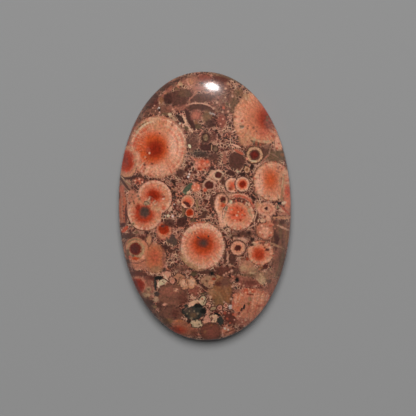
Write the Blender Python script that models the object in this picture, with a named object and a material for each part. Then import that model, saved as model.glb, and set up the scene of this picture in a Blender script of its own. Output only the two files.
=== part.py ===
"""Oval domed cabochon of orbicular (poppy) jasper, one solid polished stone.

Metres, +Z up. The stone lies on its flat back, its long axis along Y, with the
origin at the middle of the back. The outline is a slightly full ellipse. From
the back upwards come a small chamfer, a wall that leans inwards so that a
bezel can grip it, and a dome that rolls over into the wall at its rim.
"""

import math

import bmesh
import bpy

LENGTH = 0.045
WIDTH = 0.029
HEIGHT = 0.006

# 2 would be a true ellipse; a higher number fills the four flanks.
OUTLINE_FULLNESS = 2.09

CHAMFER = 0.0004
WALL_TOP = 0.0022
WALL_LEAN = math.radians(8)

# The dome's height falls off as (1 - r ** DOME_BREADTH) ** (1 / DOME_ROLL),
# with r from 0 at the top to 1 at the wall.
DOME_BREADTH = 2.2
DOME_ROLL = 1.5

SIDES = 112
DOME_RINGS = 22

JASPER_COLOUR = (0.30, 0.12, 0.075, 1.0)
JASPER_ROUGHNESS = 0.12


def signed_power(value, exponent):
    return math.copysign(abs(value) ** exponent, value)


def outline_point(turn, inset=0.0):
    """A point of the outline at this angle, moved inwards along its normal."""
    across, along = math.cos(turn), math.sin(turn)
    power = 2 / OUTLINE_FULLNESS
    x = WIDTH / 2 * signed_power(across, power)
    y = LENGTH / 2 * signed_power(along, power)
    normal_x = signed_power(across, 2 - power) / WIDTH
    normal_y = signed_power(along, 2 - power) / LENGTH
    size = math.hypot(normal_x, normal_y)
    return x - inset * normal_x / size, y - inset * normal_y / size


def outline_loop(inset, height, scale=1.0):
    """The corners of one level cut through the stone."""
    corners = []
    for side in range(SIDES):
        x, y = outline_point(2 * math.pi * side / SIDES, inset)
        corners.append((x * scale, y * scale, height))
    return corners


def dome_loops(wall_inset):
    """Level cuts up the dome, closest together where it rolls into the wall."""
    rise = HEIGHT - WALL_TOP
    loops = []
    for ring in range(1, DOME_RINGS):
        climb = math.pi / 2 * ring / DOME_RINGS
        reach = math.cos(climb) ** (2 / DOME_BREADTH)
        height = WALL_TOP + rise * math.sin(climb) ** (2 / DOME_ROLL)
        loops.append(outline_loop(wall_inset, height, reach))
    return loops


def stone_loops():
    """Level cuts from the edge of the flat back to just under the dome's top."""
    wall_inset = (WALL_TOP - CHAMFER) * math.tan(WALL_LEAN)
    back = outline_loop(CHAMFER, 0.0)
    wall_foot = outline_loop(0.0, CHAMFER)
    wall_head = outline_loop(wall_inset, WALL_TOP)
    return [back, wall_foot, wall_head, *dome_loops(wall_inset)]


def jasper():
    material = bpy.data.materials.new("polished_jasper")
    material.use_nodes = True
    surface = material.node_tree.nodes["Principled BSDF"]
    surface.inputs["Base Color"].default_value = JASPER_COLOUR
    surface.inputs["Roughness"].default_value = JASPER_ROUGHNESS
    surface.inputs["Metallic"].default_value = 0.0
    return material


def add_loop(shape, corners):
    """Adds a closed loop of edges and returns them."""
    points = [shape.verts.new(corner) for corner in corners]
    pairs = zip(points, points[1:] + points[:1])
    return [shape.edges.new(pair) for pair in pairs]


def build_stone():
    shape = bmesh.new()
    loops = [add_loop(shape, corners) for corners in stone_loops()]
    for lower, upper in zip(loops, loops[1:]):
        bmesh.ops.bridge_loops(shape, edges=lower + upper)
    bmesh.ops.edgenet_fill(shape, edges=loops[0])

    top = shape.verts.new((0.0, 0.0, HEIGHT))
    for edge in loops[-1]:
        shape.faces.new((*edge.verts, top))
    bmesh.ops.recalc_face_normals(shape, faces=shape.faces)

    mesh = bpy.data.meshes.new("stone")
    shape.to_mesh(mesh)
    shape.free()
    mesh.materials.append(jasper())
    mesh.shade_smooth()
    mesh.set_sharp_from_angle(angle=math.radians(30))

    stone = bpy.data.objects.new("stone", mesh)
    bpy.context.scene.collection.objects.link(stone)
    return stone


def clear_scene():
    for old in list(bpy.data.objects):
        bpy.data.objects.remove(old)


clear_scene()
build_stone()
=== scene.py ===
"""Finish of an oval cabochon of poppy jasper, and the plain studio that it lies in.

Metres, +Z up. The stone lies on its flat back, its long axis along Y. Places on
the stone are given in millimetres from its middle, as seen from above.
"""

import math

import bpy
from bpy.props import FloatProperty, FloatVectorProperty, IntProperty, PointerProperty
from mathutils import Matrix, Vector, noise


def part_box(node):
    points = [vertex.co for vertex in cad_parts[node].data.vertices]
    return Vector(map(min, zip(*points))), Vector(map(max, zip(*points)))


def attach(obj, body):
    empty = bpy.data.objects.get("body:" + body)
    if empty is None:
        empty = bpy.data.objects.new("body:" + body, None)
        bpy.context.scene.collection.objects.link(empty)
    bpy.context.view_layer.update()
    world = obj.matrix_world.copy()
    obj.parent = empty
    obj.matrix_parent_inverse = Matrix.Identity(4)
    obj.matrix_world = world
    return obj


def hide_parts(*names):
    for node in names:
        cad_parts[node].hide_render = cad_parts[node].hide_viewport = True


bl_info = {
    "name": "Poppy Jasper Cabochon",
    "version": (1, 0, 0),
    "blender": (4, 5, 0),
    "location": "View3D > Sidebar > Cabochon",
    "description": "Dresses an oval stone as polished orbicular jasper",
    "category": "Object",
}

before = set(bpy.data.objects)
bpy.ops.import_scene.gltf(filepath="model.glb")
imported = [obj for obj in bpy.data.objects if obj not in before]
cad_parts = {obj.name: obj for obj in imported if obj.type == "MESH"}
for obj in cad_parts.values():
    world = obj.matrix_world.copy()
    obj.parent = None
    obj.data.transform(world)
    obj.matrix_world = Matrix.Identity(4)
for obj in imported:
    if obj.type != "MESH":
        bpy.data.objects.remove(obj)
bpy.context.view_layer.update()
STONE_LOW, STONE_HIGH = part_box("stone")

MM = 0.001

# What each mineral looks like, and its colour in display levels from 0 to 1.
MINERALS = {
    "night": ("Black oxide", (0.12, 0.115, 0.105)),
    "slate": ("Grey-black oxide", (0.275, 0.26, 0.23)),
    "plum": ("Darkest purple-brown ground", (0.29, 0.17, 0.145)),
    "umber": ("Dark brown ground", (0.38, 0.24, 0.195)),
    "mauve": ("Mauve-brown clast", (0.485, 0.305, 0.24)),
    "tawny": ("Tawny olive-brown clast", (0.52, 0.33, 0.22)),
    "taupe": ("Light brown ground", (0.57, 0.40, 0.32)),
    "olive": ("Olive stain", (0.44, 0.35, 0.24)),
    "moss": ("Grey-green shard", (0.42, 0.43, 0.33)),
    "wine": ("Purple-red heart", (0.36, 0.145, 0.12)),
    "garnet": ("Dark red heart", (0.525, 0.14, 0.06)),
    "brick": ("Red heart", (0.64, 0.215, 0.11)),
    "orange": ("Orange heart", (0.73, 0.30, 0.14)),
    "coral": ("Orange-red petal", (0.78, 0.36, 0.25)),
    "rose": ("Dull rose", (0.63, 0.36, 0.29)),
    "salmon": ("Salmon petal", (0.775, 0.49, 0.365)),
    "blush": ("Pale pink petal", (0.855, 0.63, 0.52)),
    "tan": ("Tan rim", (0.67, 0.49, 0.36)),
    "sand": ("Pale tan line", (0.73, 0.59, 0.455)),
    "cream": ("Cream chalcedony", (0.80, 0.71, 0.58)),
    "pearl": ("White crumb", (0.85, 0.79, 0.75)),
}


def linear(level):
    """The linear value of one display level from 0 to 1."""
    if level <= 0.04045:
        return level / 12.92
    return ((level + 0.055) / 1.055) ** 2.4


class StoneForm(bpy.types.PropertyGroup):
    """The shape of the cut stone. Its length, width and height come from the frame."""

    outline_fullness: FloatProperty(
        name="Outline Fullness",
        description="2 is a true ellipse, and a higher number fills its four flanks",
        default=2.09,
    )
    chamfer: FloatProperty(
        name="Chamfer", description="Bevel round the back", default=0.0004, unit="LENGTH"
    )
    wall_top: FloatProperty(
        name="Wall Top",
        description="Height of the wall's upper edge",
        default=0.0022,
        unit="LENGTH",
    )
    wall_lean: FloatProperty(
        name="Wall Lean",
        description="How far the wall leans inwards",
        default=math.radians(8),
        subtype="ANGLE",
    )
    dome_breadth: FloatProperty(
        name="Dome Breadth", description="A higher number flattens the dome's top", default=2.2
    )
    dome_roll: FloatProperty(
        name="Dome Roll", description="A higher number tightens the dome's rim", default=1.5
    )
    sides: IntProperty(name="Sides", description="Corners round the outline", default=440)
    dome_rings: IntProperty(name="Dome Rings", description="Level cuts up the dome", default=150)
    ripple: FloatProperty(
        name="Ripple",
        description="Height of the faint waves that hand polishing leaves",
        default=0.000007,
        unit="LENGTH",
        precision=6,
    )
    pit_depth: FloatProperty(
        name="Pit Depth",
        description="Depth of the small pits",
        default=0.00012,
        unit="LENGTH",
        precision=5,
    )


class JasperColours(bpy.types.PropertyGroup):
    """The colour of each mineral in the stone, as it looks on a screen."""

    __annotations__ = {
        mineral: FloatVectorProperty(
            name=mineral.title(),
            description=look,
            default=colour,
            subtype="COLOR_GAMMA",
            min=0,
            max=1,
        )
        for mineral, (look, colour) in MINERALS.items()
    }


class PolishSettings(bpy.types.PropertyGroup):
    """The finish of the dome and of the ground back."""

    gloss_roughness: FloatProperty(
        name="Gloss Roughness", description="Roughness of the outermost polish", default=0.085
    )
    dome_roughness: FloatProperty(
        name="Dome Roughness", description="Roughness of the stone under its gloss", default=0.2
    )
    back_roughness: FloatProperty(
        name="Back Roughness", description="Roughness of the ground back", default=0.55
    )


class StudioSettings(bpy.types.PropertyGroup):
    """The floor, the lamp and the camera above the stone."""

    floor_colour: FloatVectorProperty(
        name="Floor",
        description="Colour of the floor",
        default=(0.577, 0.577, 0.577),
        subtype="COLOR_GAMMA",
    )
    view_width: FloatProperty(
        name="View Width",
        description="Width that the camera sees at the stone",
        default=0.0696,
        unit="LENGTH",
    )
    roll: FloatProperty(
        name="Roll",
        description="Turn of the camera about its line of sight",
        default=math.radians(-1.1),
        subtype="ANGLE",
    )
    aim: FloatVectorProperty(
        name="Aim",
        description="Point under the camera, to the right of and above the stone's middle",
        default=(0.000535, -0.000335),
        size=2,
        subtype="XYZ_LENGTH",
    )
    glint: FloatVectorProperty(
        name="Glint",
        description="Place on the dome where the camera sees the lamp mirrored",
        default=(0.0016, 0.0197),
        size=2,
        subtype="XYZ_LENGTH",
    )
    key_power: FloatProperty(
        name="Key Power", description="Power of the large soft lamp", default=5.1, subtype="POWER"
    )
    key_size: FloatProperty(
        name="Key Size", description="Width of the large soft lamp", default=0.5, unit="LENGTH"
    )
    key_lean: FloatProperty(
        name="Key Lean",
        description="Angle of the large soft lamp from straight overhead",
        default=math.radians(25),
        subtype="ANGLE",
    )
    glint_power: FloatProperty(
        name="Glint Power",
        description="Power of the lamp that the polish mirrors",
        default=0.5,
        subtype="POWER",
    )
    glint_size: FloatProperty(
        name="Glint Size",
        description="Width of the lamp that the polish mirrors",
        default=0.08,
        unit="LENGTH",
    )
    sky_power: FloatProperty(
        name="Sky", description="Strength of the light from all round", default=0.235
    )


LENS_MM = 100.0
SENSOR_MM = 36.0
# The camera's view is as wide as asked for at this height, where the outline is widest.
OUTLINE_HEIGHT = 0.0004
CLIP_START = 0.01
KEY_DISTANCE = 0.7
GLINT_DISTANCE = 0.5
FLOOR_SIZE = 1.6
FLOOR_GAP = 0.00001
FLOOR_ROUGHNESS = 0.9
FLOOR_SHINE = 0.1
# How bright the sky is from the horizon, at 0, to straight overhead, at 1.
SKY_LEVELS = {0.0: 1.5, 0.25: 1.0, 0.6: 0.5, 1.0: 0.1}
# What share of that comes from all round, and what the two sides add to it.
SKY_ALL_ROUND = 0.45
SKY_AT_SIDES = 0.9


class Dome:
    """The stone's outline and profile, worked out from its form."""

    SLOPE_STEP = 0.00005

    def __init__(self, form):
        self.form = form
        self.length = STONE_HIGH.y - STONE_LOW.y
        self.width = STONE_HIGH.x - STONE_LOW.x
        self.height = STONE_HIGH.z
        self.wall_inset = (form.wall_top - form.chamfer) * math.tan(form.wall_lean)

    def outline_point(self, turn, inset=0.0):
        """A point of the outline at this angle, moved inwards along its normal."""
        across = math.cos(turn)
        along = math.sin(turn)
        power = 2 / self.form.outline_fullness
        x = self.width / 2 * signed_power(across, power)
        y = self.length / 2 * signed_power(along, power)
        normal_x = signed_power(across, 2 - power) / self.width
        normal_y = signed_power(along, 2 - power) / self.length
        size = math.hypot(normal_x, normal_y)
        return x - inset * normal_x / size, y - inset * normal_y / size

    def loop(self, inset, height, scale=1.0):
        """The corners of one level cut through the stone."""
        sides = self.form.sides
        corners = []
        for side in range(sides):
            x, y = self.outline_point(2 * math.pi * side / sides, inset)
            corners.append(Vector((x * scale, y * scale, height)))
        return corners

    def height_at(self, x, y):
        """Height of the dome over a point, from the outline at the wall's top."""
        fullness = self.form.outline_fullness
        half_width = self.width / 2 - self.wall_inset
        half_length = self.length / 2 - self.wall_inset
        spread = abs(x / half_width) ** fullness + abs(y / half_length) ** fullness
        reach = spread ** (1 / fullness)
        left = max(0.0, 1 - reach**self.form.dome_breadth)
        rise = self.height - self.form.wall_top
        return self.form.wall_top + rise * left ** (1 / self.form.dome_roll)

    def normal_at(self, x, y):
        """The direction that the dome faces at a point, from its slope there."""
        step = self.SLOPE_STEP
        slope_x = (self.height_at(x + step, y) - self.height_at(x - step, y)) / (2 * step)
        slope_y = (self.height_at(x, y + step) - self.height_at(x, y - step)) / (2 * step)
        return Vector((-slope_x, -slope_y, 1.0)).normalized()


def signed_power(value, exponent):
    """A power of the value's size that keeps its sign."""
    return math.copysign(abs(value) ** exponent, value)


# Pits and open slits in the polish, in millimetres: their two ends and their width.
PITS = [
    ((-7.3, 16.2), (-7.3, 16.1), 0.45),
    ((1.0, -11.25), (1.1, -11.35), 0.75),
    ((5.1, -12.5), (5.3, -12.5), 0.65),
    ((6.25, -16.75), (6.2, -17.3), 0.45),
    ((5.9, -17.4), (5.75, -17.7), 0.45),
    ((5.45, -17.95), (5.3, -18.25), 0.45),
    ((-2.4, 2.5), (-2.3, 2.45), 0.45),
    ((12.35, 0.25), (12.6, 0.0), 0.45),
    ((-7.25, 1.5), (-6.7, 1.7), 0.4),
    ((6.6, 10.4), (6.6, 10.0), 0.45),
    ((10.35, -0.4), (10.4, -0.7), 0.5),
]


def distance_to_line(point, start, end):
    """How far a point is from a short line, seen from above."""
    run = end - start
    share = max(0.0, min(1.0, (point - start).dot(run) / run.length_squared))
    return (point - start - run * share).length


class Surface:
    """Small relief of the polished face: faint ripples and pits."""

    RIPPLES_PER_METRE = 420
    PIT_ROUNDNESS = 1.5

    def __init__(self, form):
        self.form = form
        self.pits = [
            (Vector(start) * MM, Vector(end) * MM, width * MM) for start, end, width in PITS
        ]

    def relief(self, point):
        """How far a point of the dome lies above the ideal shape."""
        rise = self.form.ripple * noise.noise(point * self.RIPPLES_PER_METRE)
        seen = point.to_2d()
        for start, end, width in self.pits:
            reach = distance_to_line(seen, start, end) / (width / 2)
            if reach < 1:
                rise -= self.form.pit_depth * (1 - reach**2) ** self.PIT_ROUNDNESS
        return rise


# Cuts across the flat back, as shares of its size, and steps up the chamfer and wall.
BACK_SHARES = (0.2, 0.4, 0.6, 0.8, 0.95)
CHAMFER_CUTS = 4
WALL_CUTS = 12
SHARP_EDGE = math.radians(30)


def stone_loops(dome, form):
    """Level cuts from the middle of the back, round the rim, to just under the top."""
    loops = [dome.loop(form.chamfer, 0.0, share) for share in BACK_SHARES]
    for cut in range(CHAMFER_CUTS + 1):
        share = cut / CHAMFER_CUTS
        loops.append(dome.loop(form.chamfer * (1 - share), form.chamfer * share))
    for cut in range(1, WALL_CUTS + 1):
        share = cut / WALL_CUTS
        height = form.chamfer + (form.wall_top - form.chamfer) * share
        loops.append(dome.loop(dome.wall_inset * share, height))
    surface = Surface(form)
    rise = dome.height - form.wall_top
    for ring in range(1, form.dome_rings):
        climb = math.pi / 2 * ring / form.dome_rings
        reach = math.cos(climb) ** (2 / form.dome_breadth)
        height = form.wall_top + rise * math.sin(climb) ** (2 / form.dome_roll)
        corners = dome.loop(dome.wall_inset, height, reach)
        for corner in corners:
            corner.z += surface.relief(corner)
        loops.append(corners)
    return loops


def stone_mesh(form):
    """The fine skin of the stone: a fan, quads from cut to cut, and another fan."""
    dome = Dome(form)
    loops = stone_loops(dome, form)
    sides = form.sides
    points = [Vector((0.0, 0.0, 0.0))]
    for corners in loops:
        points.extend(corners)
    points.append(Vector((0.0, 0.0, dome.height)))
    top = len(points) - 1
    last = top - sides
    faces = []
    for side in range(sides):
        after = (side + 1) % sides
        faces.append((0, 1 + after, 1 + side))
        for level in range(len(loops) - 1):
            below = 1 + level * sides
            above = below + sides
            faces.append((below + side, below + after, above + after, above + side))
        faces.append((last + side, last + after, top))
    mesh = bpy.data.meshes.new("polished_stone")
    mesh.from_pydata(points, [], faces)
    mesh.shade_smooth()
    mesh.set_sharp_from_angle(angle=SHARP_EDGE)
    return mesh


class Amount:
    """A number that varies over the surface. Sums with it add Math nodes."""

    def __init__(self, shader, socket):
        self.shader = shader
        self.socket = socket

    def __add__(self, other):
        return self.shader.math("ADD", self, other)

    __radd__ = __add__

    def __sub__(self, other):
        return self.shader.math("SUBTRACT", self, other)

    def __rsub__(self, other):
        return self.shader.math("SUBTRACT", other, self)

    def __mul__(self, other):
        return self.shader.math("MULTIPLY", self, other)

    __rmul__ = __mul__

    def __truediv__(self, other):
        return self.shader.math("DIVIDE", self, other)

    def __rtruediv__(self, other):
        return self.shader.math("DIVIDE", other, self)

    def __abs__(self):
        return self.shader.math("ABSOLUTE", self)


class Shader:
    """Adds nodes to one node tree and links them."""

    ROWS = 30
    COLUMN_STEP = 220
    ROW_STEP = 160

    def __init__(self, tree):
        self.tree = tree
        self.count = 0
        tree.nodes.clear()

    def node(self, kind, settings=None, sockets=None):
        """A node of this kind, its settings set first and its sockets fed after."""
        made = self.tree.nodes.new(kind if kind.startswith("Node") else "ShaderNode" + kind)
        column, row = divmod(self.count, self.ROWS)
        made.location = (self.COLUMN_STEP * column, -self.ROW_STEP * row)
        self.count += 1
        for name, value in (settings or {}).items():
            if name == "stops":
                fill_ramp(made.color_ramp, value)
            else:
                setattr(made, name, value)
        for name, value in (sockets or {}).items():
            if isinstance(value, Amount):
                value = value.socket
            if isinstance(value, bpy.types.NodeSocket):
                self.tree.links.new(value, made.inputs[name])
            else:
                made.inputs[name].default_value = value
        return made

    def math(self, operation, *values):
        made = self.node("Math", {"operation": operation}, dict(enumerate(values)))
        return Amount(self, made.outputs[0])

    def vector(self, operation, *values):
        made = self.node("VectorMath", {"operation": operation}, dict(enumerate(values)))
        return made.outputs["Vector"]

    def measure(self, operation, *values):
        """A number from vectors, such as a length or a distance."""
        made = self.node("VectorMath", {"operation": operation}, dict(enumerate(values)))
        return Amount(self, made.outputs["Value"])

    def scaled(self, vector, share):
        made = self.node("VectorMath", {"operation": "SCALE"}, {"Vector": vector, "Scale": share})
        return made.outputs["Vector"]

    def mix(self, share, first, second, blend="MIX"):
        """One colour over another."""
        settings = {"data_type": "RGBA", "blend_type": blend}
        return self.node("Mix", settings, {0: share, 6: first, 7: second}).outputs[2]

    def mix_vector(self, share, first, second):
        """One vector in place of another."""
        sockets = {0: share, 4: first, 5: second}
        return self.node("Mix", {"data_type": "VECTOR"}, sockets).outputs[1]

    def noise(self, place, scale, detail=2.0, roughness=0.5):
        sockets = {"Vector": place, "Scale": scale, "Detail": detail, "Roughness": roughness}
        return self.node("TexNoise", {}, sockets)

    def noise_amount(self, place, scale, detail=2.0, roughness=0.5):
        return Amount(self, self.noise(place, scale, detail, roughness).outputs[0])

    def parts(self, colour):
        """The three numbers of a colour socket."""
        split = self.node("SeparateColor", {}, {0: colour})
        return [Amount(self, output) for output in split.outputs]

    def ramp(self, share, stops):
        return self.node("ValToRGB", {"stops": stops}, {"Fac": share})


def fill_ramp(ramp, stops):
    """Gives a colour ramp these stops: pairs of a place from 0 to 1 and a colour."""
    ramp.elements.remove(ramp.elements[-1])
    ramp.elements[0].position = stops[0][0]
    ramp.elements[0].color = stops[0][1]
    for position, colour in stops[1:]:
        ramp.elements.new(position).color = colour


class Palette:
    """Looks up the colours of the minerals."""

    def __init__(self, colours):
        self.colours = colours

    def tone(self, name, cover=1.0):
        """A mineral's colour, or an even mix of several joined by plus signs."""
        minerals = [getattr(self.colours, mineral) for mineral in name.split("+")]
        mixed = [
            sum(linear(level) for level in levels) / len(minerals) for levels in zip(*minerals)
        ]
        return (*mixed, cover)


# What passes through the node group of each region: the place with smooth, ragged
# and broken warping, the colour so far, and how far the place lies right of and above
# the heart of a fibrous orb, together with the orb's radius.
GROUP_SOCKETS = {
    "smooth": "NodeSocketVector",
    "ragged": "NodeSocketVector",
    "broken": "NodeSocketVector",
    "colour": "NodeSocketColor",
    "spokes": "NodeSocketVector",
}
GROUP_RESULTS = ("colour", "spokes")


class Painter(Shader):
    """Lays markings one over another in a node group, at places in millimetres.

    Soft is the share of a marking's radius or half width over which it fades out at
    its edge, and most is its greatest strength.
    """

    SEAM = 0.15
    DOT_SOFTNESS = 0.75
    # The greatest width of a streak, as a share of its length.
    FULLEST = 0.98

    def __init__(self, name, palette):
        super().__init__(bpy.data.node_groups.new(name, "ShaderNodeTree"))
        self.palette = palette
        for socket, kind in GROUP_SOCKETS.items():
            self.tree.interface.new_socket(socket, in_out="INPUT", socket_type=kind)
        for socket in GROUP_RESULTS:
            kind = GROUP_SOCKETS[socket]
            self.tree.interface.new_socket(socket, in_out="OUTPUT", socket_type=kind)
        self.given = self.node("NodeGroupInput").outputs
        self.colour = self.given["colour"]
        self.spokes = self.given["spokes"]

    def finish(self):
        self.node("NodeGroupOutput", {}, {"colour": self.colour, "spokes": self.spokes})
        return self.tree

    def cover(self, shown, colour, most):
        """Lays one colour where shown is over 0, fully from 1 on unless most is less."""
        if most < 1:
            shown = self.math("MINIMUM", shown, most)
        self.colour = self.mix(shown, self.colour, self.palette.tone(colour))

    def local(self, x, y, across, along, field):
        """The place seen from a marking's middle, 1 long at its edge."""
        squeeze = (1 / across, 1 / along, 2 / (across + along))
        offset = (-x / across, -y / along, 0.0)
        return self.vector("MULTIPLY_ADD", self.given[field], squeeze, offset)

    def patch(self, x, y, across, along, colour, soft=0.5, most=1.0, field="ragged"):
        """A round marking of one colour. Across and along are its radii."""
        reach = self.measure("LENGTH", self.local(x, y, across, along, field))
        self.cover(self.math("MULTIPLY_ADD", reach, -1 / soft, 1 / soft), colour, most)

    def grain(self, x, y, across, along, colour, soft=0.15, most=1.0):
        """A patch with broken edges."""
        self.patch(x, y, across, along, colour, soft, most, "broken")

    def piece(self, x, y, across, along, colour, edge="plum+umber"):
        """A grain with a dark seam round it."""
        self.grain(x, y, across + self.SEAM, along + self.SEAM, edge)
        self.grain(x, y, across, along, colour)

    def dots(self, colour, *places):
        """Small round spots. Each place is x, y and the radius."""
        for x, y, radius in places:
            self.patch(x, y, radius, radius, colour, self.DOT_SOFTNESS, field="smooth")

    def orb(self, x, y, across, along, zones, soft=0.12, field="ragged", fibres=False):
        """A round marking whose colours change outwards: zones tells from where."""
        local = self.local(x, y, across, along, field)
        last = 1 - soft
        stops = [(min(reach, last), self.palette.tone(name)) for reach, name in zones.items()]
        edge = stops[-1][1]
        stops += [(last, edge), (1.0, (*edge[:3], 0.0))]
        ramp = self.ramp(self.measure("LENGTH", local), stops)
        self.colour = self.mix(ramp.outputs["Alpha"], self.colour, ramp.outputs["Color"])
        if fibres:
            offset = (-x, -y, (across + along) / 2)
            spoke = self.vector("MULTIPLY_ADD", self.given[field], (1.0, 1.0, 0.0), offset)
            self.spokes = self.mix_vector(ramp.outputs["Alpha"], self.spokes, spoke)

    def streak(self, start, end, width, colour, soft=0.3, most=1.0, field="smooth"):
        """A slim spindle from one point to another."""
        start = Vector((*start, 0.0))
        end = Vector((*end, 0.0))
        half = (end - start).length / 2
        half_width = min(width / 2, half * self.FULLEST)
        focus = math.sqrt(half**2 - half_width**2)
        middle = (start + end) / 2
        aim = (end - start).normalized() * focus
        place = self.given[field]
        before = self.measure("DISTANCE", place, middle - aim)
        total = before + self.measure("DISTANCE", place, middle + aim)
        slope = 1 / (2 * (half - focus) * soft)
        shown = self.math("MULTIPLY_ADD", total, -slope, 1 / soft + 2 * focus * slope)
        self.cover(shown, colour, most)

    def wisp(self, start, end, width, colour, soft, most=1.0):
        """A streak with ragged edges."""
        self.streak(start, end, width, colour, soft, most, "ragged")

    def arc(self, x, y, radius, width, colour, near, within, soft=0.35, most=1.0, field="smooth"):
        """Part of a ring: what lies near a point, and fades out away from it."""
        place = self.given[field]
        band = abs(self.measure("DISTANCE", place, (x, y, 0.0)) - radius) / (width / 2)
        window = self.measure("DISTANCE", place, (*near, 0.0)) / within
        reach = self.math("MAXIMUM", band, window)
        self.cover(self.math("MULTIPLY_ADD", reach, -1 / soft, 1 / soft), colour, most)


class Jasper(Shader):
    """The body of the stone: its warped fields, its ground and the regions over it.

    Every marking is a solid shape that reaches down into the stone from the place
    where the dome cuts it, so the wall and the back show the same markings deeper in.
    """

    # Scales count the waves or cells to a millimetre. Warps are in millimetres.
    WARP_SCALE = 0.42
    WARP = 0.2
    FRINGE_SCALE = 3.2
    FRINGE = {"smooth": 0.14, "ragged": 0.6}
    SHARD_SCALE = 1.7
    SHARD = 0.6
    DEPTH_STRETCH = 1.5
    # Places are read off a view from this many millimetres above, so they spread
    # apart a little where the dome comes nearer to it.
    SEEN_FROM = 190.0

    BLOTCH_SCALE = 0.8
    BLOTCHES = {0.38: "night+plum", 0.48: "plum", 0.56: "plum+umber", 0.64: "umber", 0.74: "mauve"}
    # Which of the small cells stand out from the ground: share, colour and cover.
    CELLS = (
        (0.0, "slate+plum", 0.8),
        (0.16, "slate+plum", 0.8),
        (0.17, "plum+wine", 0.7),
        (0.34, "plum+wine", 0.7),
        (0.36, "umber", 0.0),
        (0.7, "rose", 0.0),
        (0.72, "rose+wine", 0.6),
        (0.86, "rose+umber", 0.6),
        (0.88, "rose+taupe", 0.8),
        (1.0, "blush+taupe", 0.8),
    )
    CRUMB_SCALE = 2.3
    CRUMB_CONTRAST = 9
    DARK_FROM = 0.6
    PALE_UP_TO = 0.42

    LACE_SCALE = 1.9
    LACE_WIDTH = 0.11
    LACE_CONTRAST = 13
    WINDING_SCALE = 1.3
    WINDING_CONTRAST = 28
    # Where the drift is strong the threads form lace, and where it is weak they wind.
    DRIFT_SCALE = 0.75
    LACE_GAIN = 9
    LACE_START = 4.0
    WINDING_GAIN = 6
    WINDING_END = 4.0
    THREADS = {0.36: "rose+salmon", 0.46: "rose+blush", 0.56: "blush+taupe", 0.66: "blush+sand"}

    FIBRES_PER_MM = 2.1
    FIBRE_LENGTH = 2.6
    FIBRE_CONTRAST = 4.5
    # Fibres set in from this share of an orb's radius, and grow this fast outwards.
    FIBRES_FROM = 0.4
    FIBRES_GROW = 2.2
    # Gives orbs of different sizes fibres of their own.
    ORB_SPREAD = 7
    PALE_FIBRE = ("blush+sand", 0.52)
    DEEP_FIBRE = ("coral+rose", 0.49)

    GRAIN_SCALE = 2.7
    GRAIN_CONTRAST = 1.3
    GRAIN_DARKEST = 0.36
    GRAIN_TINT = 0.4

    def __init__(self, tree, palette, wall_top):
        super().__init__(tree)
        self.palette = palette
        spot = self.node("TexCoord").outputs["Object"]
        self.place = self.scaled(spot, 1 / MM)
        self.make_fields(wall_top / MM)
        self.colour = self.ground()
        self.spokes = (0.0, 0.0, 0.0)

    def make_fields(self, wall_top):
        """Three warped copies of the place: with smooth, ragged and broken edges."""
        self.height = Amount(self, self.node("SeparateXYZ", {}, {0: self.place}).outputs[2])
        seen = self.scaled(self.place, self.height / self.SEEN_FROM + 1.0)
        apart = self.node("SeparateXYZ", {}, {0: seen}).outputs
        sink = self.math("MAXIMUM", wall_top - self.height, 0.0)
        sockets = {0: apart[0], 1: apart[1], 2: sink * self.DEPTH_STRETCH}
        level = self.node("CombineXYZ", {}, sockets)
        waves = self.noise(self.place, self.WARP_SCALE, detail=1.5).outputs["Color"]
        warp = self.offset(waves, self.WARP)
        self.swirled = self.vector("ADD", self.place, warp)
        bent = self.vector("ADD", level.outputs[0], warp)
        fringes = self.noise(self.swirled, self.FRINGE_SCALE, detail=2.5, roughness=0.6)
        fringe = fringes.outputs["Color"]
        self.fields = {
            kind: self.vector("ADD", bent, self.offset(fringe, size))
            for kind, size in self.FRINGE.items()
        }
        self.cell_tint = self.cells("F1", self.SHARD_SCALE).outputs["Color"]
        shift = self.offset(self.cell_tint, self.SHARD)
        self.fields["broken"] = self.vector("ADD", self.fields["smooth"], shift)

    def cells(self, feature, scale):
        """Rounded cells of the swirled stone."""
        sockets = {"Vector": self.swirled, "Scale": scale}
        return self.node("TexVoronoi", {"feature": feature}, sockets)

    def offset(self, colour, size):
        """A vector from a random colour, up to half of size each way."""
        moved = [self.math("MULTIPLY_ADD", part, size, -size / 2) for part in self.parts(colour)]
        return self.node("CombineXYZ", {}, dict(enumerate(moved))).outputs[0]

    def ground(self):
        """The dark ground between the poppies: blotches, small cells, crumbs and threads."""
        tone = self.noise_amount(self.swirled, self.BLOTCH_SCALE, detail=3.0, roughness=0.6)
        colour = self.ramp(tone, self.stops(self.BLOTCHES)).outputs["Color"]
        looks = [(share, self.palette.tone(name, cover)) for share, name, cover in self.CELLS]
        cell = self.ramp(self.parts(self.cell_tint)[0], looks)
        colour = self.mix(cell.outputs["Alpha"], colour, cell.outputs["Color"])
        crumbs = self.noise_amount(self.place, self.CRUMB_SCALE, detail=1.0)
        dark = (crumbs - self.DARK_FROM) * self.CRUMB_CONTRAST
        colour = self.mix(dark, colour, self.palette.tone("plum+umber"))
        light = (self.PALE_UP_TO - crumbs) * self.CRUMB_CONTRAST
        colour = self.mix(light, colour, self.palette.tone("rose+taupe"))
        return self.threaded(colour)

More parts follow.
